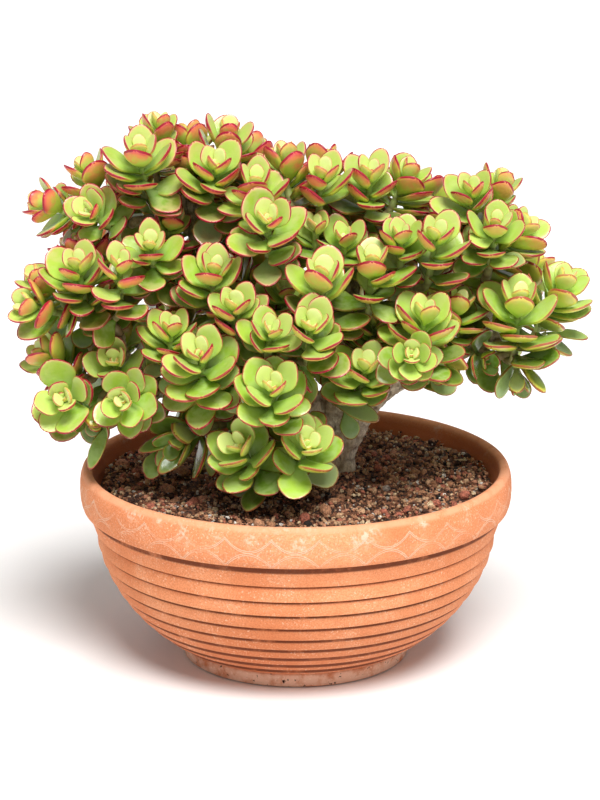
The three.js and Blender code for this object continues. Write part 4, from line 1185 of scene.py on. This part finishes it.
# Nothing fills the air before the foot of the trunk or under the right side of the crown.
openAir = {"trunkLeft": 26, "trunkRight": 96, "trunkFront": 4, "trunkTop": 234, "underFrom": 80,
           "underTop": 262}


def staysOpen(feelers):
    x, y, z = feelers.T
    beforeTrunk = (x > openAir["trunkLeft"]) & (x < openAir["trunkRight"]) & (y < openAir["trunkFront"])
    under = (x > openAir["underFrom"]) & (z < openAir["underTop"])
    return bool(np.any(beforeTrunk & (z < openAir["trunkTop"]) | under))


# First the solids' own leaves, the youngest pairs first, then those that fill the rosettes and the stems.
def placeLeaves():
    for pair in range(1, len(pairs["drop"])):
        for shoot in allShoots:
            for side in (0, 1):
                if pair < shoot["pairs"]:
                    place(shoot, pair, side, leafForm["clear"])
    print("leaves of the solids:", len(placed["leaves"]))
    placeOldLeaves()
    for pair in filling["levels"]:
        for shoot in allShoots:
            for side in range(4 if pair % 1 else 2):
                if (pair % 1 or pair >= shoot["pairs"]) and not shoot["old"]:
                    place(shoot, pair, side, filling["space"])
    for i, branch in enumerate(branches):
        for shoot in branch["shoots"]:
            leavesAlong("twig", shoot["twig"], (0, 0), shoot["size"], shoot["number"], i)
        leavesAlong("wood", branch["wood"], branch["radius"], filling["woodSize"], -2, i)
    for name, path in limbPaths.items():
        leavesAlong("limb", path, limbs[name][0], filling["woodSize"], -2, None)
    print("leaves in all:", len(placed["leaves"]))
    return placed["leaves"]


# The top and the underside each have their fullness and two powers that say how square the section is.
leafShape = {
    "fine": (16, 12), "small": (12, 8), "top": (0.22, 3.6, 0.7), "under": (0.54, 3.4, 0.6),
    "twist": 12, "sway": 0.05, "wave": 0.07, "waves": 5, "point": 0.2, "oldPoint": 0.4, "oldWidth": 0.95,
    "widthSpread": (0.92, 1.08), "marginReach": 6, "heartSize": 0.45, "heartDrop": 0.5, "roomLeft": 0.6,
    "ageSpread": (-0.08, 0.12), "oldAge": (0.85, 1), "sunSpread": (0.5, 1.2), "seed": 5,
}


# A straight leaf, one long and one wide to each side, from a ball: flat above, full below, with a margin.
def makeLeafPattern(segments, rings):
    pattern = newPiece(bpy.ops.mesh.primitive_uv_sphere_add, segments=segments, ring_count=rings, radius=1,
                       rotation=(0, math.pi / 2, 0))
    bpy.ops.object.transform_apply(location=False, rotation=True, scale=False)
    x, y, z = pointsOf(pattern).T
    ring = np.maximum(np.hypot(y, z), 1e-6)
    u, v, h = (1 + x) / 2, y / ring, z / ring
    v = np.where(ring < 1e-3, 0, v)
    half = outline(u)
    full = (0.62 + 0.38 * smoothStep(0, 0.4, u)) * (1 - u ** 5) ** 0.5
    above, below = (fullness * (1 - np.abs(v) ** square) ** flat
                    for fullness, square, flat in (leafShape["top"], leafShape["under"]))
    movePoints(pattern, np.stack([u, half * v, full * np.where(h > 0, above, -below)], 1))
    paintPoints(pattern, "along", u)
    paintPoints(pattern, "under", np.where(np.abs(v) < 0.98, smoothStep(0.15, -0.15, h), 0.5))
    rim = np.linspace(0.05, 1, 90)
    rimLine = np.concatenate([np.stack([rim, outline(rim)], 1), np.stack([rim, -outline(rim)], 1)])
    scale = np.array((leafForm["standard"], leafForm["standard"] * 0.35))
    flat = np.stack([u, half * v], 1)
    distance = np.min(np.linalg.norm((flat[:, None] - rimLine[None]) * scale, axis=2), axis=1)
    paintPoints(pattern, "fromEdge", np.clip(distance / leafShape["marginReach"], 0, 1))
    dress(pattern, "leafPattern", "leaf")
    return pattern


# The pattern bent to one leaf's size, curl, cup and twist. A leaf whose tip would pass the solids' box
# bends back.
def bentLeaf(pattern, shape, leaf, rnd):
    u, y, h = shape.T
    twist = math.radians(leafShape["twist"]) * rnd.uniform(-1, 1) * u
    pointed, wide = (leafShape["oldPoint"], leafShape["oldWidth"]) if leaf["shoot"]["old"] else (1, 1)
    point = leafShape["point"] * rnd.random() ** 1.5 * pointed
    side = leaf["halfWidth"] * y * (1 - point * smoothStep(0.7, 1, u))
    side = side * rnd.uniform(*leafShape["widthSpread"]) * wide
    wave = leafShape["wave"] * np.sin(leafShape["waves"] * u + rnd.uniform(0, 6))
    height = leaf["thickness"] * h + (leafForm["cup"] + wave) * leaf["halfWidth"] * y * y
    cos, sin = np.cos(twist), np.sin(twist)
    side, height = side * cos - height * sin, side * sin + height * cos
    side = side + leafShape["sway"] * rnd.uniform(-1, 1) * leaf["length"] * u * u
    points = onLeaf(leaf, u, side, height)
    bend, room = smoothStep(0, 0.7, u), leafShape["roomLeft"]
    for axis in (0, 1):
        low, high = cadBox[0][axis] / mm + room, cadBox[1][axis] / mm - room
        points[:, axis] += max(0, low - points[:, axis].min()) * bend
        points[:, axis] -= max(0, points[:, axis].max() - high) * bend
    piece = copyOf(pattern)
    movePoints(piece, points * mm)
    return piece


# How much sun a rosette gets: more with every so many millimetres up and to the left.
sunlight = {"least": 0.08, "low": 0.14, "from": 240, "up": 250, "left": 700}


def sunAt(place):
    rise = (place[2] - sunlight["from"]) / sunlight["up"]
    return float(np.clip(sunlight["low"] + rise - place[0] / sunlight["left"], sunlight["least"], 1))


def paintLeaf(piece, leaf, rnd):
    age = leaf["pair"] / 6 + rnd.uniform(*leafShape["ageSpread"])
    sun = sunAt(leaf["base"]) * rnd.uniform(*leafShape["sunSpread"])
    if leaf["shoot"]["old"]:
        age, sun = rnd.uniform(*leafShape["oldAge"]), 0
    paintPoints(piece, "age", float(np.clip(age, 0, 1)))
    paintPoints(piece, "sun", float(np.clip(sun, 0, 1)))
    paintPoints(piece, "tint", leaf.get("tint", rnd.random()))


# The youngest pair and, square to it, the two half-grown leaves at its heart.
def heartLeaves(shoot):
    leaves = [leafOf(shoot, 0, side) for side in (0, 1)]
    for side in (2, 3):
        heart = leafOf(shoot, 0, side, 0, leafShape["heartSize"])
        heart["base"] = shoot["tip"] - shoot["axis"] * leafShape["heartDrop"]
        leaves.append(heart)
    return leaves


def twigLine(shoot):
    rows = tapered(shoot["twig"], (shoot["startWidth"], twigForm["foot"]), 8)
    if "from" in shoot:
        rows.insert(0, (shoot["from"], shoot["startWidth"]))
    upwards = shoot["tip"] - shoot["foot"]
    count = max(4, int(np.linalg.norm(upwards) / twigForm["ringPitch"]))
    for i in range(1, count + 1):
        radius = twigForm["foot"] + (twigForm["tip"] - twigForm["foot"]) * i / count
        rows.append((shoot["foot"] + upwards * i / count * 0.985, radius * twigForm["rings"][i % 2]))
    return rows


# Round stems along lines of points with a radius each, as one mesh.
def stemsAlong(lines, roundness):
    curve = newPiece(bpy.ops.curve.primitive_nurbs_path_add)
    curve.data.splines.clear()
    curve.data.bevel_depth = mm
    curve.data.bevel_resolution = roundness
    curve.data.use_fill_caps = True
    curve.data.resolution_u = 3
    for line in lines:
        spline = curve.data.splines.new("NURBS")
        spline.points.add(len(line) - 1)
        spline.use_endpoint_u = True
        spline.order_u = 3
        for point, (place, radius) in zip(spline.points, line):
            point.co = (*(np.asarray(place) * mm), 1)
            point.radius = radius
    selectOnly(curve)
    bpy.ops.object.convert(target="MESH")
    return bpy.context.object


# Rings where leaves once sat, and how young the wood is, by the nearest stem's own length.
def paintStems(piece, samples, ringPitch):
    tree = KDTree(len(samples))
    for i, sample in enumerate(samples):
        tree.insert(sample["place"], i)
    tree.balance()
    points = pointsOf(piece) / mm
    rings, youth = np.zeros(len(points)), np.zeros(len(points))
    for i, point in enumerate(points):
        sample = samples[tree.find(point)[1]]
        gone = sample["gone"] + float(np.dot(point - sample["place"], sample["heading"]))
        wave = 0.5 + 0.5 * math.cos(2 * math.pi * gone / ringPitch)
        rings[i], youth[i] = wave ** 6, sample["young"]
    paintPoints(piece, "ring", rings)
    paintPoints(piece, "young", youth)
    return points, rings


def samplesAlong(path, young, count):
    return [{"place": path.even(share), "heading": path.evenHeading(share), "gone": share * path.length,
             "young": young[0] + (young[1] - young[0]) * share}
            for share in (i / count for i in range(count + 1))]


def makeLeafyBranches():
    rnd = random.Random(leafShape["seed"])
    fine, small = makeLeafPattern(*leafShape["fine"]), makeLeafPattern(*leafShape["small"])
    leaves = placeLeaves()
    for number, branch in enumerate(branches):
        own = [(leaf, fine if leaf["shoot"]["number"] > -2 else small)
               for leaf in leaves if leaf["shoot"]["owner"] == number]
        for shoot in branch["shoots"]:
            own += [(leaf, small) for leaf in heartLeaves(shoot)]
        pieces = []
        for leaf, pattern in own:
            piece = bentLeaf(pattern, pointsOf(pattern), leaf, rnd)
            paintLeaf(piece, leaf, rnd)
            pieces.append(piece)
        twigs = stemsAlong([twigLine(shoot) for shoot in branch["shoots"]] + branch["stalks"], 3)
        samples = []
        for shoot in branch["shoots"]:
            samples += samplesAlong(shoot["twig"], (0.1, 0.5), 12)
            samples += samplesAlong(shoot["core"], (0.5, 1), 8)
        paintStems(twigs, samples, 9)
        dress(twigs, "twigs", "twig")
        joined = joinInto([*pieces, twigs], "leaves_" + branch["name"])
        standFor(joined, "leaf", "leafy_branch_" + branch["name"])
    bpy.data.objects.remove(fine)
    bpy.data.objects.remove(small)


makeLeafyBranches()
print("leaves grown")


trunk = {"base": (28, 6, 120), "height": 66, "lean": (0.05, 0, 1), "footRadius": 24, "topRadius": 18,
         "voxel": 2.1, "ringPitch": 11, "ringDepth": 0.55, "knob": 0.9, "knobSize": 0.07, "inset": 0.2,
         "gap": 0.35}


def makeTrunk():
    lean = unit(np.array(trunk["lean"], float))
    base = np.array(trunk["base"], float)
    stump = []
    for share in np.linspace(0, 1, 8):
        radius = trunk["footRadius"] + (trunk["topRadius"] - trunk["footRadius"]) * max(0, 2 * share - 1)
        stump.append((base + lean * trunk["height"] * share, radius))
    lines = [stump]
    samples = samplesAlong(Path(lambda t: base + lean * trunk["height"] * t), (0, 0), 12)
    for name, path in limbPaths.items():
        lines.append(tapered(path, limbs[name][0], 10))
        samples += samplesAlong(path, (0, 0.2), 40)
    for branch in branches:
        path = branch["wood"]
        lines.append(tapered(path, branch["radius"], 5, 1 - trunk["gap"] / path.length))
        samples += samplesAlong(path, (0.1, 0.5), 14)
    piece = stemsAlong(lines, 4)
    shapeWith(piece, "REMESH", mode="VOXEL", voxel_size=trunk["voxel"] * mm)
    shapeWith(piece, "SMOOTH", factor=0.6, iterations=3)
    points, rings = paintStems(piece, samples, trunk["ringPitch"])
    normals = np.empty(len(points) * 3)
    piece.data.vertices.foreach_get("normal", normals)
    normals = normals.reshape(-1, 3)
    knobs = np.array([noise.fractal(Vector(p) * trunk["knobSize"], 0.9, 2.0, 3) for p in points])
    out = trunk["knob"] * knobs - trunk["ringDepth"] * rings - trunk["inset"]
    movePoints(piece, (points + normals * out[:, None]) * mm)
    dress(piece, "woodyTrunk", "bark")
    standFor(piece, "bark", "trunk")


makeTrunk()
print("trunk grown")


studio = {
    "cameraAt": (0.0036, -2.6, 0.9587), "pitchDown": 15.78, "focalPixels": 3174.7, "pictureHeight": 800,
    "sensor": 36, "floorSize": 40, "floor": "f6f4f2", "floorPatch": "f9f7f5", "skyStrength": 0.4,
    "sunFrom": (0.18, -0.76, 1.2), "sunStrength": 4.1, "sunAngle": 28,
}


def makeFloor():
    floor = newPiece(bpy.ops.mesh.primitive_plane_add, size=studio["floorSize"], location=(0, 0, -0.5 * mm))
    floor.name = "paleFloor"
    paper = Finish("palePaper", studio, "floor")
    paper.layer("floorPatch", paper.patches(2, 0.2, 0.8, 1))
    floor.data.materials.append(paper.done({"Roughness": 0.9}))


def makeLight():
    world = bpy.data.worlds.new("softRoom")
    world.use_nodes = True
    sky = world.node_tree.nodes["Background"].inputs
    sky["Color"].default_value = (1, 1, 1, 1)
    sky["Strength"].default_value = studio["skyStrength"]
    bpy.context.scene.world = world
    sun = newPiece(bpy.ops.object.light_add, type="SUN", location=studio["sunFrom"])
    sun.name = "softSun"
    sun.data.energy = studio["sunStrength"]
    sun.data.angle = math.radians(studio["sunAngle"])
    sun.rotation_euler = (-Vector(studio["sunFrom"])).to_track_quat("-Z", "Y").to_euler()


def makeCamera():
    pitch = math.radians(90 - studio["pitchDown"])
    camera = newPiece(bpy.ops.object.camera_add, location=studio["cameraAt"], rotation=(pitch, 0, 0))
    camera.data.sensor_width = studio["sensor"]
    camera.data.lens = studio["focalPixels"] * studio["sensor"] / studio["pictureHeight"]
    camera.data.clip_end = 60
    bpy.context.scene.camera = camera
    bpy.context.scene.view_settings.view_transform = "Standard"


makeFloor()
makeLight()
makeCamera()

print("scene made")
